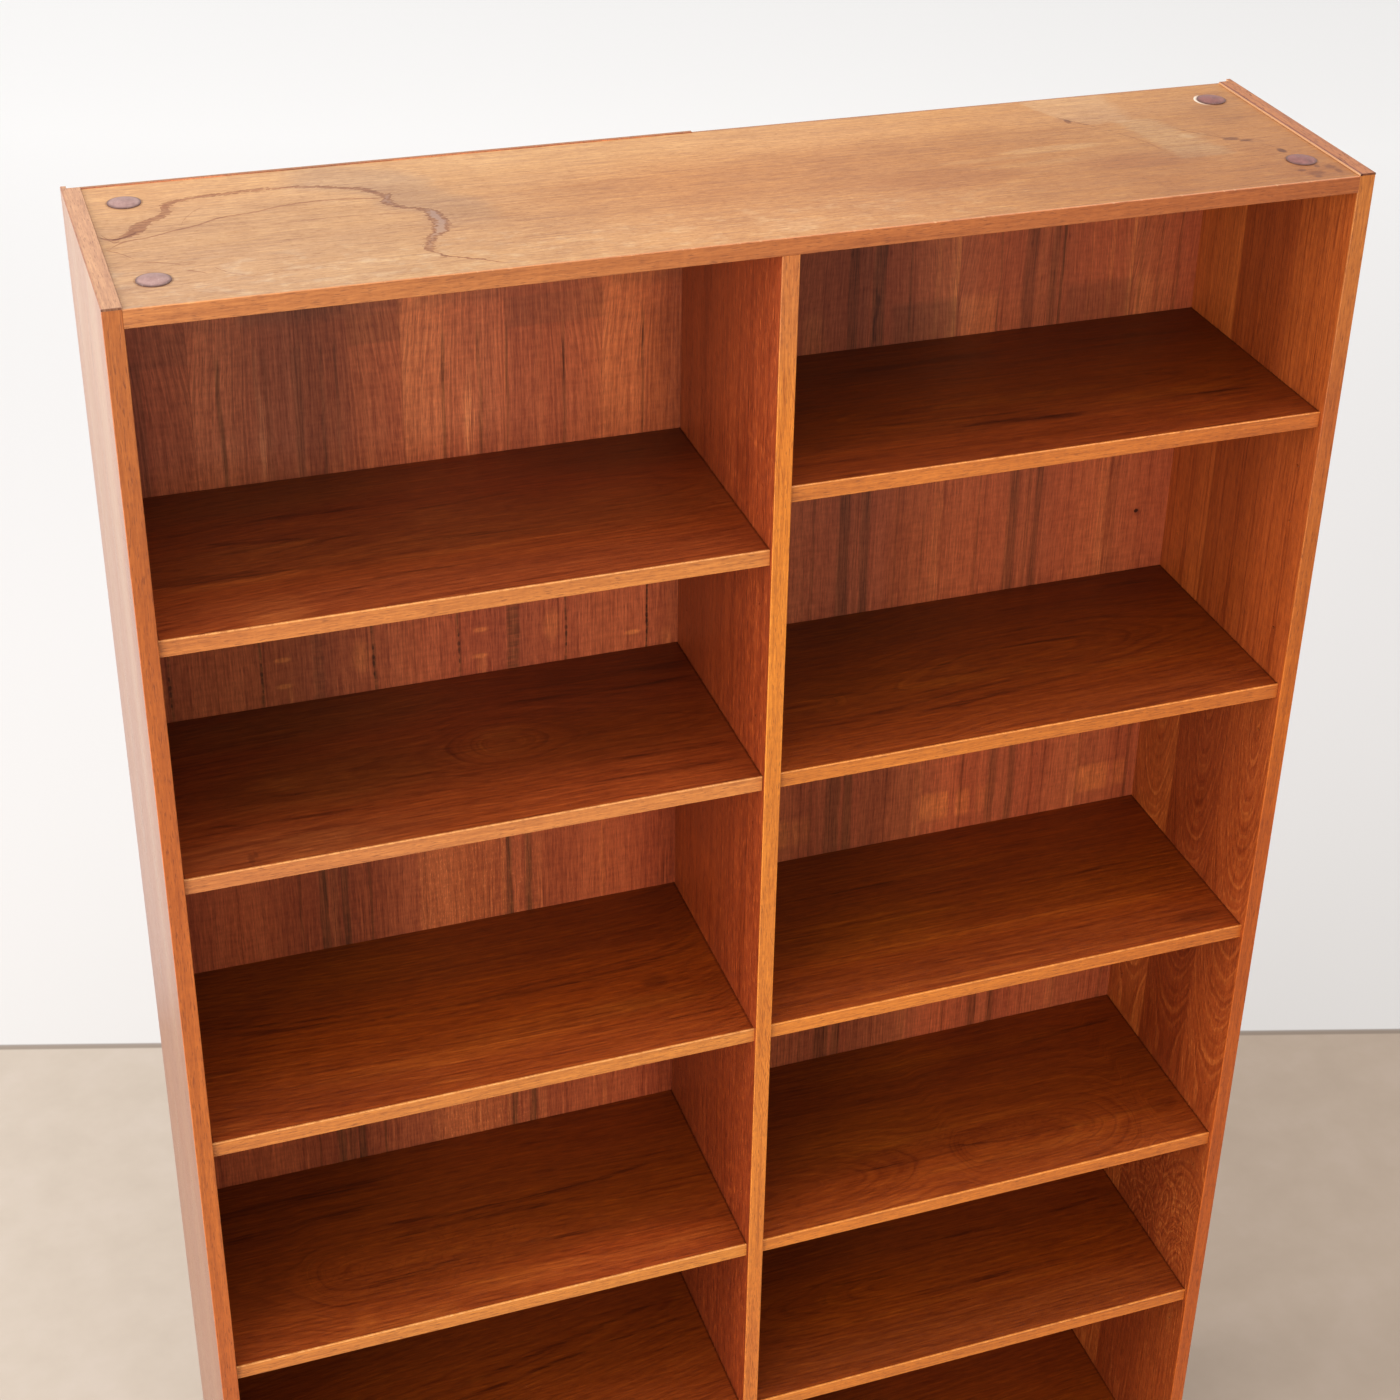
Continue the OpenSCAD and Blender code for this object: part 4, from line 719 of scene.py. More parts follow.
# ------------------------------------------------------------------ shelves
SHELVES = {
    "left_shelf_1": dict(wash=[(-300, -114, 330, 34, (1.0, 1.05, 1.42)), (-300, -10, 330, 46, (1.0, 1.16, 1.22)), (-90, 110, 110, 40, (0.8, 0.92, 0.8)), (-430, 110, 150, 40, (0.88, 1.06, 1.08))],
        step=[(-583, -50), (-300, -46), (0, -52)], corner=0.62, tone=SHELF_L, top=1559.0, centre=[(-600, -30), (-300, 12), (0, 20)], depth=[(-600, 8), (-440, 22), (-330, 30), (-180, 26), (0, 40)],
        dark=[([(-600, -33), (-500, -37), (-440, -44), (-360, -46)], 4), ([(-590, -40), (-520, -43), (-450, -48)], 5), ([(-340, -18), (-270, -26), (-180, -32)], 4), ([(-400, -86), (-330, -80), (-250, -78)], 4),
              ([(-430, -104), (-400, -98), (-380, -86)], 4), ([(-560, 48), (-440, 60), (-300, 56)], 4), ([(-380, 32), (-280, 40), (-200, 50)], 3), ([(-530, 36), (-500, 22), (-440, 14), (-400, 6)], 3), ([(-520, 0), (-450, 8), (-400, 12)], 3), ([(-480, -12), (-420, 0), (-360, 10)], 3)],
        pale=[(-476, -112, 34, 22), (-470, -128, 30, 12), (-500, -54, 60, 6), (-300, 26, 30, 10), (-480, 6, 50, 6), (-310, -52, 60, 4)]),
    "left_shelf_2": dict(wash=[(-480, -112, 120, 34, (0.88, 0.98, 1.3)), (-130, -112, 110, 34, (1.14, 1.14, 1.22)), (-130, -10, 110, 46, (0.82, 0.82, 0.5)), (-420, -10, 110, 46, (0.84, 1.0, 0.9)), (-420, 106, 140, 40, (0.96, 1.22, 1.36)), (-90, 106, 100, 40, (0.88, 0.84, 0.42))],
        step=[(-583, -78), (-400, -70), (0, -64)], corner=0.70, tone=SHELF_L, top=1299.0, centre=[(-600, -20), (-420, -6), (-240, 0), (-100, -12), (0, -18)], depth=[(-600, 50), (-420, 46), (-320, 42), (-285, 30), (-262, 14), (-240, 3), (-215, 12), (-180, 28), (-120, 40), (0, 48)],
        dark=[([(-190, 96), (-120, 94), (0, 93)], 7), ([(-240, 72), (-120, 66), (0, 64)], 5), ([(-190, -98), (-90, -97), (0, -98)], 4), ([(-160, -62), (-80, -66), (0, -68)], 3),
              ([(-560, -60), (-460, -70), (-360, -72)], 3)],
        pale=[(-450, -108, 36, 11), (-440, -128, 60, 9), (-245, -4, 34, 24), (-240, 22, 26, 12)], mark=[(-517, -123, 3, 9), (-512, -118, 2, 5)]),
    "left_fixed_shelf": dict(wash=[(-490, -112, 130, 36, (0.8, 0.76, 0.84)), (-300, -10, 300, 46, (1.15, 1.1, 0.8)), (-420, 106, 140, 40, (1.1, 1.14, 0.6)), (-90, 106, 110, 40, (0.93, 0.9, 0.4))],
        step=[(-583, -60), (-300, -68), (-100, -84), (0, -92)], corner=0.80, tone=scale3(SHELF_L, 1.1), top=974.0, centre=[(-600, 30), (-420, 6), (-250, -4), (-80, 0), (0, 20)], depth=[(-600, 10), (-420, 8), (-250, 3), (-120, 2), (0, 6)],
        dark=[([(-583, 36), (-480, 14), (-330, 2), (-230, -2), (-100, 4), (-9, 26)], 5), ([(-583, 46), (-480, 26), (-330, 12), (-230, 8), (-100, 16), (-9, 44)], 3),
              ([(-200, -88), (-120, -92), (-9, -96)], 3), ([(-500, -62), (-420, -66), (-350, -74)], 3)],
        pale=[(-330, -80, 120, 12), (-200, -60, 120, 16), (-100, -60, 60, 10), (-560, -120, 26, 6), (-330, -118, 30, 6)], mark=[(-84, -27, 16, 10), (-560, -34, 40, 3)]),
    "left_shelf_3": dict(wash=[(-130, -112, 120, 36, (1.13, 1.06, 1.3)), (-130, -10, 110, 46, (0.91, 0.9, 0.6)), (-300, 106, 300, 40, (1.07, 1.02, 0.4))],
        step=[(-583, -72), (-400, -88), (-250, -80), (0, -94)], corner=0.92, tone=SHELF_L, top=661.5, centre=[(-600, -30), (-470, -38), (-380, -40), (-240, -44), (-120, -60), (0, -64)], depth=[(-600, 60), (-500, 46), (-478, 32), (-450, 14), (-400, 4), (-300, 6), (-200, 10), (0, 20)],
        dark=[([(-590, 88), (-480, 92), (-360, 92)], 7), ([(-590, 46), (-500, 52), (-380, 58)], 4), ([(-390, -2), (-300, 0), (-190, -6)], 4), ([(-270, -58), (-190, -60), (-120, -66)], 3),
              ([(-400, 22), (-330, 16), (-230, 12), (-60, 26)], 3), ([(-430, -70), (-360, -62), (-300, -54)], 3)],
        pale=[(-364, -126, 26, 9), (-440, -118, 14, 9), (-420, -130, 60, 6), (-180, -112, 120, 12), (-250, -100, 80, 8), (-60, -104, 50, 8)], swirl=(-340, -40, 160, 44)),
    "left_shelf_4": dict(corner=0.90, tone=SHELF_L, top=401.5, centre=[(-600, -60), (-350, -10), (-50, 50), (0, 60)], depth=[(-600, 20), (-300, 8), (-100, 20), (0, 30)],
        dark=[([(-400, -16), (-300, 0), (-180, 26), (-40, 56)], 4), ([(-420, -34), (-300, -20), (-160, 4), (-20, 20)], 3)], pale=[]),
    "right_shelf_1": dict(wash=[(300, -112, 320, 36, (0.9, 0.82, 0.8)), (170, -10, 100, 46, (1.14, 1.16, 0.7)), (470, -10, 110, 46, (0.97, 0.94, 0.6))],
        step=[(0, -84), (300, -79), (583, -76)], corner=0.68, tone=scale3(SHELF_R, 0.82), top=1624.0, centre=[(0, -20), (600, -14)], depth=[(0, 30), (300, 6), (600, 40)],
        dark=[([(140, 82), (230, 86), (340, 86)], 9), ([(200, -62), (290, -69), (360, -74)], 6), ([(240, -66), (300, -68), (340, -70)], 5), ([(430, -60), (500, -64), (560, -66)], 4), ([(480, -72), (530, -73), (560, -70)], 3), ([(120, -38), (200, -46), (300, -52)], 3), ([(50, -98), (90, -101), (140, -101)], 4),
              ([(400, 90), (480, 86), (570, 80)], 5)],
        pale=[(300, -20, 90, 9), (470, -52, 80, 8), (480, -96, 60, 9)]),
    "right_shelf_2": dict(wash=[(470, -112, 130, 36, (0.9, 0.9, 0.98)), (170, -10, 100, 46, (1.03, 1.1, 0.98)), (240, 106, 100, 40, (0.88, 0.92, 0.6)), (500, 106, 100, 40, (0.94, 0.86, 0.4))],
        step=[(0, -92), (200, -78), (400, -57), (583, -46)], corner=0.72, tone=scale3(SHELF_R, 0.9), top=1299.0, centre=[(0, -26), (120, -26), (300, 2), (600, 10)], depth=[(0, 2), (90, 4), (150, 22), (200, 14), (300, 3), (400, 12), (520, 40), (600, 50)],
        dark=[([(180, -76), (240, -71), (300, -63), (400, -56)], 4), ([(260, -66), (285, -64), (310, -60)], 6), ([(90, -86), (170, -82), (260, -72)], 3), ([(480, 108), (530, 110), (583, 104)], 6), ([(340, 50), (365, 51), (390, 48)], 4), ([(60, -60), (130, -62), (220, -52), (330, -40)], 3),
              ([(70, -14), (130, -18), (160, -28)], 4), ([(160, -28), (130, -44), (70, -48)], 3), ([(215, -8), (250, 6), (320, 20), (400, 18), (460, 10)], 3), ([(215, -10), (260, -16), (320, -8)], 3)],
        pale=[(280, -28, 80, 8), (430, -46, 80, 7)]),
    "right_fixed_shelf": dict(wash=[(300, -112, 320, 36, (0.88, 0.89, 0.98)), (170, -10, 100, 46, (1.12, 1.3, 0.95)), (470, -10, 110, 46, (1.07, 1.14, 0.86)), (370, 106, 230, 40, (1.03, 1.0, 0.35))],
        step=[(0, -52), (300, -49), (583, -54)], corner=0.86, tone=scale3(SHELF_R, 1.08), top=974.0, centre=None, depth=None,
        dark=[([(275, -7), (300, -7), (325, -8)], 4), ([(250, 27), (275, 27), (300, 26)], 4), ([(340, -34), (350, -34), (360, -35)], 3), ([(430, -8), (500, -6), (583, -10)], 3), ([(430, 6), (500, 14), (583, 8)], 3), ([(60, 60), (160, 62), (260, 60)], 3)],
        pale=[(320, 70, 100, 5), (300, -50, 140, 5), (480, -56, 90, 3), (240, -122, 150, 5), (480, -124, 80, 3), (260, -60, 160, 4)], mark=[(540, -108, 24, 8)]),
    "right_shelf_3": dict(wash=[(115, -112, 130, 36, (1.14, 1.18, 1.2)), (470, -112, 120, 36, (1.02, 1.09, 1.2)), (170, -10, 100, 46, (1.04, 1.16, 0.87)), (240, 106, 100, 40, (1.22, 1.3, 0.42)), (500, 106, 100, 40, (1.08, 1.09, 0.35))],
        step=[(0, -96), (250, -72), (583, -82)], corner=0.98, tone=SHELF_R, top=661.5, centre=[(0, -70), (270, -74), (600, -72)], depth=[(0, 4), (120, 22), (200, 44), (262, 56), (300, 30), (400, 34), (500, 66), (522, 80), (540, 30), (600, 40)],
        dark=[([(140, -64), (220, -72), (300, -70)], 3), ([(260, -60), (360, -74), (460, -76)], 3), ([(430, 84), (500, 88), (583, 96)], 4)],
        pale=[(310, 92, 70, 12), (440, 90, 60, 10), (200, -36, 40, 5), (340, -30, 90, 4), (480, -76, 70, 5), (340, -96, 120, 8), (140, -128, 80, 6)], swirl=(300, -56, 150, 22)),
    "right_shelf_4": dict(wash=[(300, -112, 320, 36, (0.88, 0.95, 0.97)), (170, -10, 100, 46, (1.18, 1.2, 0.5)), (480, -10, 100, 46, (1.03, 1.0, 0.4))],
        corner=0.95, tone=SHELF_R, top=401.5, centre=[(0, -12), (600, -8)], depth=[(0, 50), (150, 22), (260, 6), (420, 4), (600, 22)],
        dark=[([(250, -38), (340, -40), (470, -38)], 4), ([(140, 10), (200, 6), (260, -2)], 3), ([(300, 44), (420, 40), (560, 46)], 4)], pale=[(330, -56, 150, 4)]),
    "bottom_board": dict(tone=scale3(SHELF_L, 1.1), top=76.5, centre=[(-600, 10), (0, -10), (600, 20)], depth=[(-600, 40), (-200, 8), (200, 30), (600, 10)], dark=[], pale=[]),
}
for i, (name, s) in enumerate(SHELVES.items()):
    m = Wood("wood_" + name, "XYZ", 10.0 + i)
    if s["centre"]:
        m.grow(wave=4.0, centre=s["centre"], depth=s["depth"], warp=9.0)
    else:
        m.grow(wave=5.0)
    m.paint(s["tone"], fine=1.0, bands=0.5, broad=0.4, pores=0.3, grain=1.7)
    m.rings(7.0, 0.15, (0.68, 0.58, 0.54), 0.6, wander=1.1, patchy=0.9)
    m.rings(11.0, 0.12, (1.24, 1.42, 1.5), 0.6, wander=1.0, seed=2.0, patchy=0.9)
    m.flecks(60.0, 3.0, 0.58, 0.65, (0.66, 0.58, 0.56), 0.55)
    m.flecks(34.0, 2.8, 0.59, 0.66, (1.26, 1.38, 1.42), 0.5, seed=5.0)
    m.streaks(5.0, 0.58, 0.70, (0.72, 0.62, 0.62), 0.5, 420.0)
    m.streaks(9.0, 0.57, 0.70, (1.2, 1.35, 1.3), 0.4, 420.0, seed=4.0)
    m.normals()
    under = m.mix(1.0, m.col, (0.95, 0.98, 0.8), "MULTIPLY")
    # painted light: paler along the front, where the light reaches, and painted shade deeper at the back
    m.times(m.drift(m.y, [(-138, (1.2, 1.25, 1.3)), (-110, (1.12, 1.14, 1.15)), (-60, (1.04, 1.04, 1.0)), (20, (0.97, 0.96, 0.95)), (100, (0.9, 0.86, 0.84)), (138, (0.84, 0.8, 0.78))]))
    # painted sheen browner and greyer at the back left, and painted shade deepest at the back right end
    x0, x1 = (-583, -8.5) if name.startswith("left") else (8.5, 583) if name.startswith("right") else (-583, 583)
    cr = s.get("corner", 0.9)
    m.times(m.mix(m.span(m.y, 10, 110, smooth=True), (1, 1, 1), m.drift(m.x, [(x0, (1.0, 1.24, 1.16)), (x0 + 230, (1.0, 1.14, 1.08)), (x1 - 210, (0.96, 1.0, 0.96)), (x1 - 60, (cr, cr, cr)), (x1, (cr, cr, cr))])))
    # a step up in tone towards the front, where the light has reached, and less blue in the lower ones
    if "step" in s:
        k = m.add(m.sub(m.y, m.curve(m.x, s["step"])), m.mul(m.sub(m.noise(m.join(m.mul(m.x, 1 / 70.0), m.mul(m.y, 1 / 5.0), m.seed), 3.0, 0.6), 0.5), 12.0))
        m.times(m.drift(k, [(-40, (1.0, 1.0, 1.0)), (-16, (1.05, 1.05, 1.04)), (-2, (1.08, 1.08, 1.06)), (3, (0.95, 0.94, 0.93)), (22, (0.96, 0.96, 0.95)), (60, (1.0, 1.0, 1.0))]))
    if name not in ("left_shelf_1", "left_shelf_2"):
        m.times(m.drift(m.y, [(-138, (1.0, 1.0, 0.85)), (-70, (1.0, 1.0, 0.62)), (0, (1.0, 1.05, 0.4)), (138, (1.0, 1.06, 0.32))]))
    for px, py, rx, ry, c in s.get("wash", []):
        m.tint(m.patch(px, py, rx, ry, 1.2, 0.3), c)
    m.tint(m.span(m.y, -135.8, -137.4), (0.52, 0.40, 0.36), 0.8)
    for pts, w in s["dark"]:
        m.tint(m.line(pts, w * (1.8 if name == "left_shelf_3" else 1.4), fade=30.0, wobble=3.0, grainy=0.6), (0.36, 0.28, 0.31), 0.9 if name == "left_shelf_3" else 0.78)
    for px, py, rx, ry in s["pale"]:
        m.tint(m.patch(px, py, rx, ry, 1.0, 0.4), (1.32, 1.62, 1.7), 0.5)
    for px, py, rx, ry in s.get("mark", []):
        m.tint(m.patch(px, py, rx, ry, 0.9), (0.45, 0.4, 0.5), 0.55)
    if "swirl" in s:
        cx, cy, rx, ry = s["swirl"]
        q = m.noise(m.join(m.mul(m.x, 1 / 60.0), m.mul(m.y, 1 / 26.0), 3.0), 2.0, 0.5, warp=0.8)
        ql = m.abs(m.sub(m.math("FRACT", m.mul(q, 10.0)), 0.5))
        m.tint(m.mul(m.span(ql, 0.16, 0.04, smooth=True), m.patch(cx, cy, rx, ry, 1.0)), (0.66, 0.54, 0.54), 0.45)
    # painted shade in the gaps at its two ends, where it meets the sides and the divider
    end = m.high(m.span(m.abs(m.sub(m.abs(m.x), 583.0)), 3.2, 1.8, smooth=True), m.span(m.abs(m.sub(m.abs(m.x), 8.5)), 3.0, 1.6, smooth=True))
    m.tint(end, (0.45, 0.36, 0.34), 0.75)
    # fine dust and hair scratches, only just there
    dust = m.noise(m.join(m.mul(m.x, 1 / 2.2), m.mul(m.y, 1 / 2.2), 9.0), 1.0)
    m.paler(m.span(dust, 0.77, 0.82), srgb(190, 150, 130), 0.28)
    m.col = m.mix(m.span(m.nz, -0.6, -0.2), under, m.col)
    m.core(17.0, s["top"], faces="x")
    use(m.finish(rough=0.42, bump=0.25, gloss=0.4), name)

m = Wood("wood_plinth", "XZY", 40.0)
m.grow(wave=4.0)
m.paint(scale3(SHELF_L, 1.1), fine=0.9, bands=0.8, broad=0.5, pores=0.7)
m.tint(m.span(m.z, 14.0, 0.0, smooth=True), (0.72, 0.68, 0.66), 0.7)
use(m.finish(rough=0.5, bump=0.3), "plinth_front", "plinth_rear_rail")


# ------------------------------------------------------------------ edge strips
def strip(node, axes, mid, seed, stops=None, along="x", edit=None, pores=0.9, rough=0.44, arris=0.6, lip=None):
    m = Wood("wood_" + node, axes, seed)
    m.normals()
    m.grow(wave=3.0, skew=0.012 * math.sin(seed * 2.3))
    m.paint(mid, fine=0.75, bands=0.45, broad=0.25, pores=pores, grain=1.3, ripple=0.12)
    if stops:
        m.times(m.drift({"x": m.x, "y": m.y, "z": m.z}[along], stops))
    if edit:
        edit(m)
    if lip is not None:
        # painted highlight: its top edge and top face painted bright, broken up along the length
        k = m.high(m.span(m.z, lip - 1.6, lip - 0.7), m.span(m.nz, 0.5, 0.9))
        n = m.noise(m.join(m.mul(m.x, 1 / 12.0), 1.0, seed), 4.0, 0.7)
        m.paler(m.mul(k, m.span(n, 0.38, 0.62, 0.1, 1.0)), scale3(mid, (1.45, 1.9, 2.6)), 0.8)
    # painted highlight on the chamfered arrises
    for n in {"XYZ": (m.ny, m.nz), "XZY": (m.ny, m.nz), "ZYX": (m.nx, m.ny), "ZXY": (m.nx, m.ny), "YXZ": (m.nx, m.nz)}[axes][:1]:
        k = m.window(m.abs(n), 0.35, 0.92, 0.04)
        m.tint(k, (1.22, 1.36, 1.5), arris)
    use(m.finish(rough=rough, bump=0.35, gloss=0.5), node)


strip("left_side_front_strip", "ZXY", FRONT_L, 51.0, [(300, (1.12, 1.0, 0.84)), (650, (1.14, 1.05, 0.85)), (950, (1.22, 1.28, 0.97)), (1250, (1.08, 1.04, 0.88)), (1600, (0.98, 0.98, 0.92)), (1800, (1.03, 1.2, 1.5)), (1880, (1.05, 1.28, 1.75))], "z")
strip("right_side_front_strip", "ZXY", FRONT_R, 52.0, [(300, (0.95, 0.87, 0.70)), (900, (0.98, 0.91, 0.66)), (1120, (0.94, 0.88, 0.72)), (1250, (1.14, 1.28, 0.9)), (1500, (0.98, 1.2, 1.55)), (1620, (0.87, 1.0, 1.75)), (1750, (1.0, 1.4, 2.4)), (1880, (1.1, 1.7, 2.8))], "z")


def divider_marks(m):
    m.streaks(2.4, 0.53, 0.66, (0.78, 0.68, 0.66), 0.8, 90.0, mask=m.window(m.z, 1630, 1860, 20.0))
    # short stretches where the grain runs out at a slant
    for z0, z1, k in ((1640, 1740, 0.16), (860, 1010, 0.22), (400, 520, 0.1)):
        q = m.noise(m.join(m.mul(m.z, 1 / 70.0), m.mul(m.add(m.x, m.mul(m.z, k)), 1 / 1.5), 4.0), 2.0, 0.55)
        m.tint(m.mul(m.span(q, 0.52, 0.66, smooth=True), m.window(m.z, z0, z1, 20.0)), (0.7, 0.56, 0.5), 0.7)


strip("divider_front_strip", "ZXY", STRIP_DIV, 53.0, [(300, (0.92, 0.85, 1.0)), (520, (0.92, 0.84, 1.0)), (640, (0.98, 0.96, 1.0)), (900, (1.0, 1.0, 1.0)), (1150, (1.0, 1.0, 1.0)), (1400, (1.06, 1.1, 0.95)), (1690, (1.05, 1.05, 0.95)),
                                                      (1735, (1.0, 1.06, 1.3)), (1780, (0.88, 0.92, 1.6)), (1860, (0.82, 0.86, 1.8))], "z", divider_marks)


def top_front_marks(m):
    chip = m.noise(m.join(m.mul(m.x, 1 / 9.0), 2.0, 5.0), 4.0, 0.75)
    m.paler(m.mul(m.span(m.z, 1876.4, 1877.3), m.span(chip, 0.54, 0.66)), srgb(206, 160, 112), 0.5)
    m.paler(m.mul(m.span(m.nz, 0.6, 0.9), m.span(m.y, -143.6, -143.0)), srgb(190, 136, 86), 0.6)


# painted light: the top front strip paler at the left, towards the light, deeper towards the right
strip("top_board_front_strip", "XZY", TOP_FRONT, 54.0, [(-583, (1.17, 1.34, 1.45)), (-300, (1.07, 1.17, 1.2)), (0, (1.0, 0.98, 0.96)), (300, (0.92, 0.84, 0.82)), (583, (0.86, 0.76, 0.75))], "x", top_front_marks)
# painted light: the shelf strips are brighter towards the middle of the case and darker towards the two sides, where
# the light falls off
for i, n in enumerate(["left_shelf_1", "left_shelf_2", "left_fixed_shelf", "left_shelf_3", "left_shelf_4"]):
    k, j = ((0.95, 1.02), (0.88, 1.02), (1.0, 1.07), (0.97, 1.1), (1.0, 1.08))[i]
    b = (1.06, 1.14, 0.9, 0.8, 0.8)[i]
    strip(n + "_strip", "XZY", STRIP_L, 60.0 + i, [(-583, (0.94 * k, 0.88 * k, 0.86 * b)), (-400, (k, k, b)), (-9, (1.02 * j, 1.05 * j, 1.04 * b))], "x", lip=SHELVES[n]["top"])
for i, n in enumerate(["right_shelf_1", "right_shelf_2", "right_fixed_shelf", "right_shelf_3", "right_shelf_4"]):
    k, j = ((0.98, 0.98), (1.0, 1.0), (1.04, 1.06), (1.13, 1.06), (1.08, 1.07))[i]
    b = (1.18, 1.0, 0.95, 0.95, 0.9)[i]
    strip(n + "_strip", "XZY", STRIP_R, 70.0 + i, [(9, (1.02 * k, 1.12 * k, 1.12 * b)), (300, (k, 1.04 * k, b)), (583, (0.92 * j, 0.86 * j, 0.84 * b))], "x", lip=SHELVES[n]["top"])
strip("bottom_board_front_strip", "XZY", STRIP_R, 80.0)


def crown_marks(m):
    m.tint(m.mul(m.span(m.y, -142.6, -143.6), m.span(m.noise(m.join(m.mul(m.x, 1 / 4.0), 1.0, 2.0), 2.0), 0.35, 0.55, 0.4, 1.0)), (0.34, 0.22, 0.2), 0.9)
    m.tint(m.span(m.abs(m.x), 598.7, 599.8), (0.56, 0.40, 0.36), 0.8)
    m.tint(m.mul(m.span(m.x, 586.2, 585.0), m.span(m.x, 0, 1)), (0.42, 0.20, 0.16), 0.9)
    m.paler(m.mul(m.span(m.nx, -0.5, -0.9), m.span(m.x, 0, 1)), srgb(214, 166, 122), 0.8)


strip("left_side_top_strip", "YXZ", CROWN_L, 81.0, [(-144, (1.0, 1.0, 1.02)), (144, (1.04, 1.05, 1.10))], "y", crown_marks, arris=0.2)
strip("right_side_top_strip", "YXZ", CROWN_R, 82.0, [(-144, (0.94, 0.90, 0.90)), (144, (1.0, 1.0, 0.98))], "y", crown_marks, pores=1.5, arris=0.2)

# ------------------------------------------------------------------ caps, fittings and small parts
m = Net("cap_plastic")
m.place("XYZ")
r = m.hyp(m.sub(m.abs(m.x), 550.0), m.sub(m.abs(m.sub(m.y, 2.5)), 91.5))
g = m.noise(m.raw, 4.0, 0.6, scale=0.18)
col = m.ramp(g, [(0.25, srgb(122, 92, 88)), (0.5, srgb(148, 116, 110)), (0.75, srgb(166, 136, 130))])
# painted light: the caps at the right painted darker and browner than those at the left, nearer the light
col = m.mix(1.0, col, m.ramp(m.span(m.x, -100, 100), [(0.0, (1.0, 0.96, 0.94)), (1.0, (0.62, 0.37, 0.35))]), "MULTIPLY")
# painted shade: a dark rim round each dome, where its edge curves down away from the light
col = m.mix(m.span(r, 12.4, 14.6, 0.0, 0.8), col, srgb(74, 44, 38))
scuff = m.noise(m.join(m.mul(m.x, 1 / 1.2), m.mul(m.y, 1 / 6.0), 2.0), 3.0, 0.7)
col = m.mix(m.span(scuff, 0.6, 0.75, 0.0, 0.4), col, srgb(196, 172, 166))
m.put(m.bsdf.inputs["Base Color"], col)
m.put(m.bsdf.inputs["Roughness"], m.span(g, 0.3, 0.7, 0.34, 0.5))
m.bump(m.add(m.mul(g, 0.4), m.mul(scuff, 0.3)), 0.2, 0.0002)
use(m.mat, "cover_caps")


def metal(name, dark, light, rough, scale, spots=None):
    m = Net(name)
    m.place("XYZ")
    g = m.noise(m.raw, 4.0, 0.65, scale=scale)
    b = m.noise(m.join(m.mul(m.x, 0.15), m.mul(m.y, 1.6), m.mul(m.z, 1.6)), 3.0, 0.6)
    col = m.ramp(m.add(m.mul(m.sub(g, 0.5), 0.8), b), [(0.3, dark), (0.7, light)])
    if spots:
        col = m.mix(m.span(g, 0.6, 0.72, 0.0, 0.7), col, spots)
    m.put(m.bsdf.inputs["Base Color"], col)
    m.bsdf.inputs["Metallic"].default_value = 1.0
    m.put(m.bsdf.inputs["Roughness"], m.span(b, 0.3, 0.7, rough - 0.08, rough + 0.14))
    m.bump(b, 0.25, 0.0002)
    return m.mat


use(metal("cam_zinc", srgb(150, 150, 146), srgb(198, 198, 192), 0.42, 0.5), "top_cam_housings", "bottom_cam_housings")
use(metal("fitting_steel", srgb(150, 148, 142), srgb(208, 206, 200), 0.3, 0.4, srgb(120, 96, 74)), "top_cam_bolts", "bottom_cam_bolts",
    "left_bay_support_wires", "right_bay_support_wires")
use(metal("nail_steel", srgb(104, 100, 94), srgb(170, 166, 158), 0.4, 0.8, srgb(96, 64, 44)), "back_panel_nails")

m = Wood("beech_dowel", "XYZ", 90.0)
m.grow(wave=1.0)
m.paint(srgb(206, 172, 126), fine=0.8, bands=0.4, broad=0.3, pores=0.4)
use(m.finish(rough=0.6, bump=0.3), "carcass_dowels")

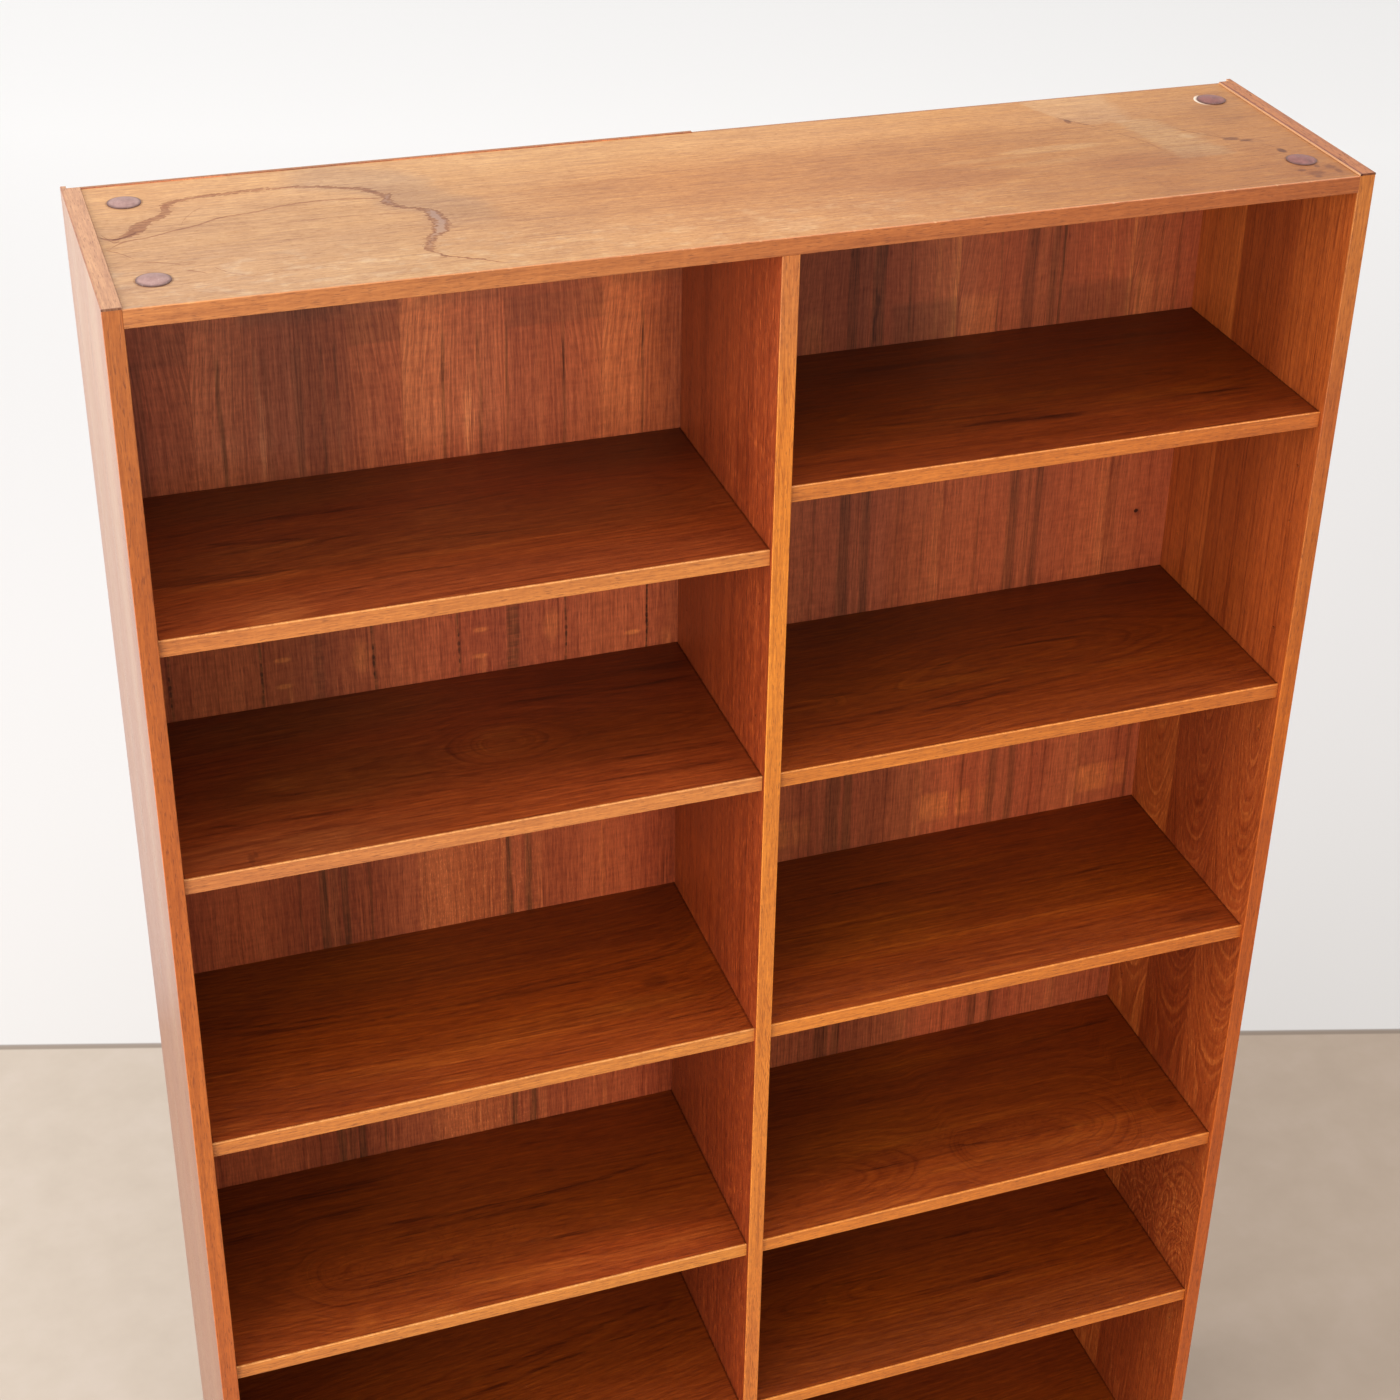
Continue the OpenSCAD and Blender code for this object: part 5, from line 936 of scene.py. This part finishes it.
# ------------------------------------------------------------------ stage and light
fm = bpy.data.meshes.new("floor")
fm.from_pydata([(-14, -14, 0), (14, -14, 0), (14, 18, 0), (-14, 18, 0)], [], [(0, 1, 2, 3)])
floor = bpy.data.objects.new("floor", fm)
bpy.context.scene.collection.objects.link(floor)
f = Net("floor")
f.place("XYZ")
line = f.add(f.add(f.y, f.mul(f.x, 0.3068)), -1062.0)      # where the pale floor meets the white backdrop
far = f.span(line, -3.0, 3.0)
grain = f.noise(f.raw, 3.0, 0.6, scale=0.012)
stone = f.ramp(grain, [(0.3, srgb(165, 151, 136)), (0.5, srgb(168, 154, 139)), (0.7, srgb(171, 157, 143))])
# painted light: the floor paler at the left and darker at the right, as the light falls from the left
stone = f.mix(f.span(f.x, -900, 900), f.mix(1.0, stone, (1.14, 1.17, 1.21), "MULTIPLY"), f.mix(1.0, stone, (0.92, 0.87, 0.84), "MULTIPLY"))
sheet = f.ramp(f.span(line, 0, 9000), [(0.0, (0.56, 0.54, 0.525)), (0.15, (0.70, 0.68, 0.67)), (0.5, (0.98, 0.97, 0.965)), (1.0, (1.0, 1.0, 1.0))])
shade = f.window(line, -7.0, 1.0, 5.0)
f.put(f.bsdf.inputs["Base Color"], f.mix(f.mul(shade, 0.75), f.mix(far, stone, sheet), srgb(118, 104, 92)))
f.bsdf.inputs["Roughness"].default_value = 0.8
floor.data.materials.append(f.mat)

world = bpy.data.worlds.new("studio")
bpy.context.scene.world = world
world.use_nodes = True
world.node_tree.nodes["Background"].inputs[0].default_value = (1.0, 0.99, 0.98, 1)
world.node_tree.nodes["Background"].inputs[1].default_value = 0.79


def area(name, place, aim, size, power):
    d = bpy.data.lights.new(name, "AREA")
    d.shape = "RECTANGLE"
    d.size = d.size_y = size
    d.energy = power
    o = bpy.data.objects.new(name, d)
    bpy.context.scene.collection.objects.link(o)
    o.location = place
    o.rotation_euler = (Vector(aim) - Vector(place)).to_track_quat("-Z", "Y").to_euler()
    o.visible_camera = False
    return o


area("softbox_left", (-4.0, 0.0, 2.4), (0, 0, 1.2), 3.0, 206)
area("softbox_front_left", (-3.2, -3.0, 2.2), (0, 0, 1.1), 2.5, 92)
area("overhead_right", (1.5, -0.5, 4.5), (0, 0, 1.2), 2.5, 75)
area("overhead_front", (-1.5, -2.0, 4.5), (0, 0, 1.2), 2.5, 22)
area("overhead_back", (-1.2, 0.8, 4.2), (0, 0, 1.9), 2.5, 8)
area("backdrop_wash", (-3.0, 8.0, 5.0), (-4.0, 11.0, 0), 5.0, 45)
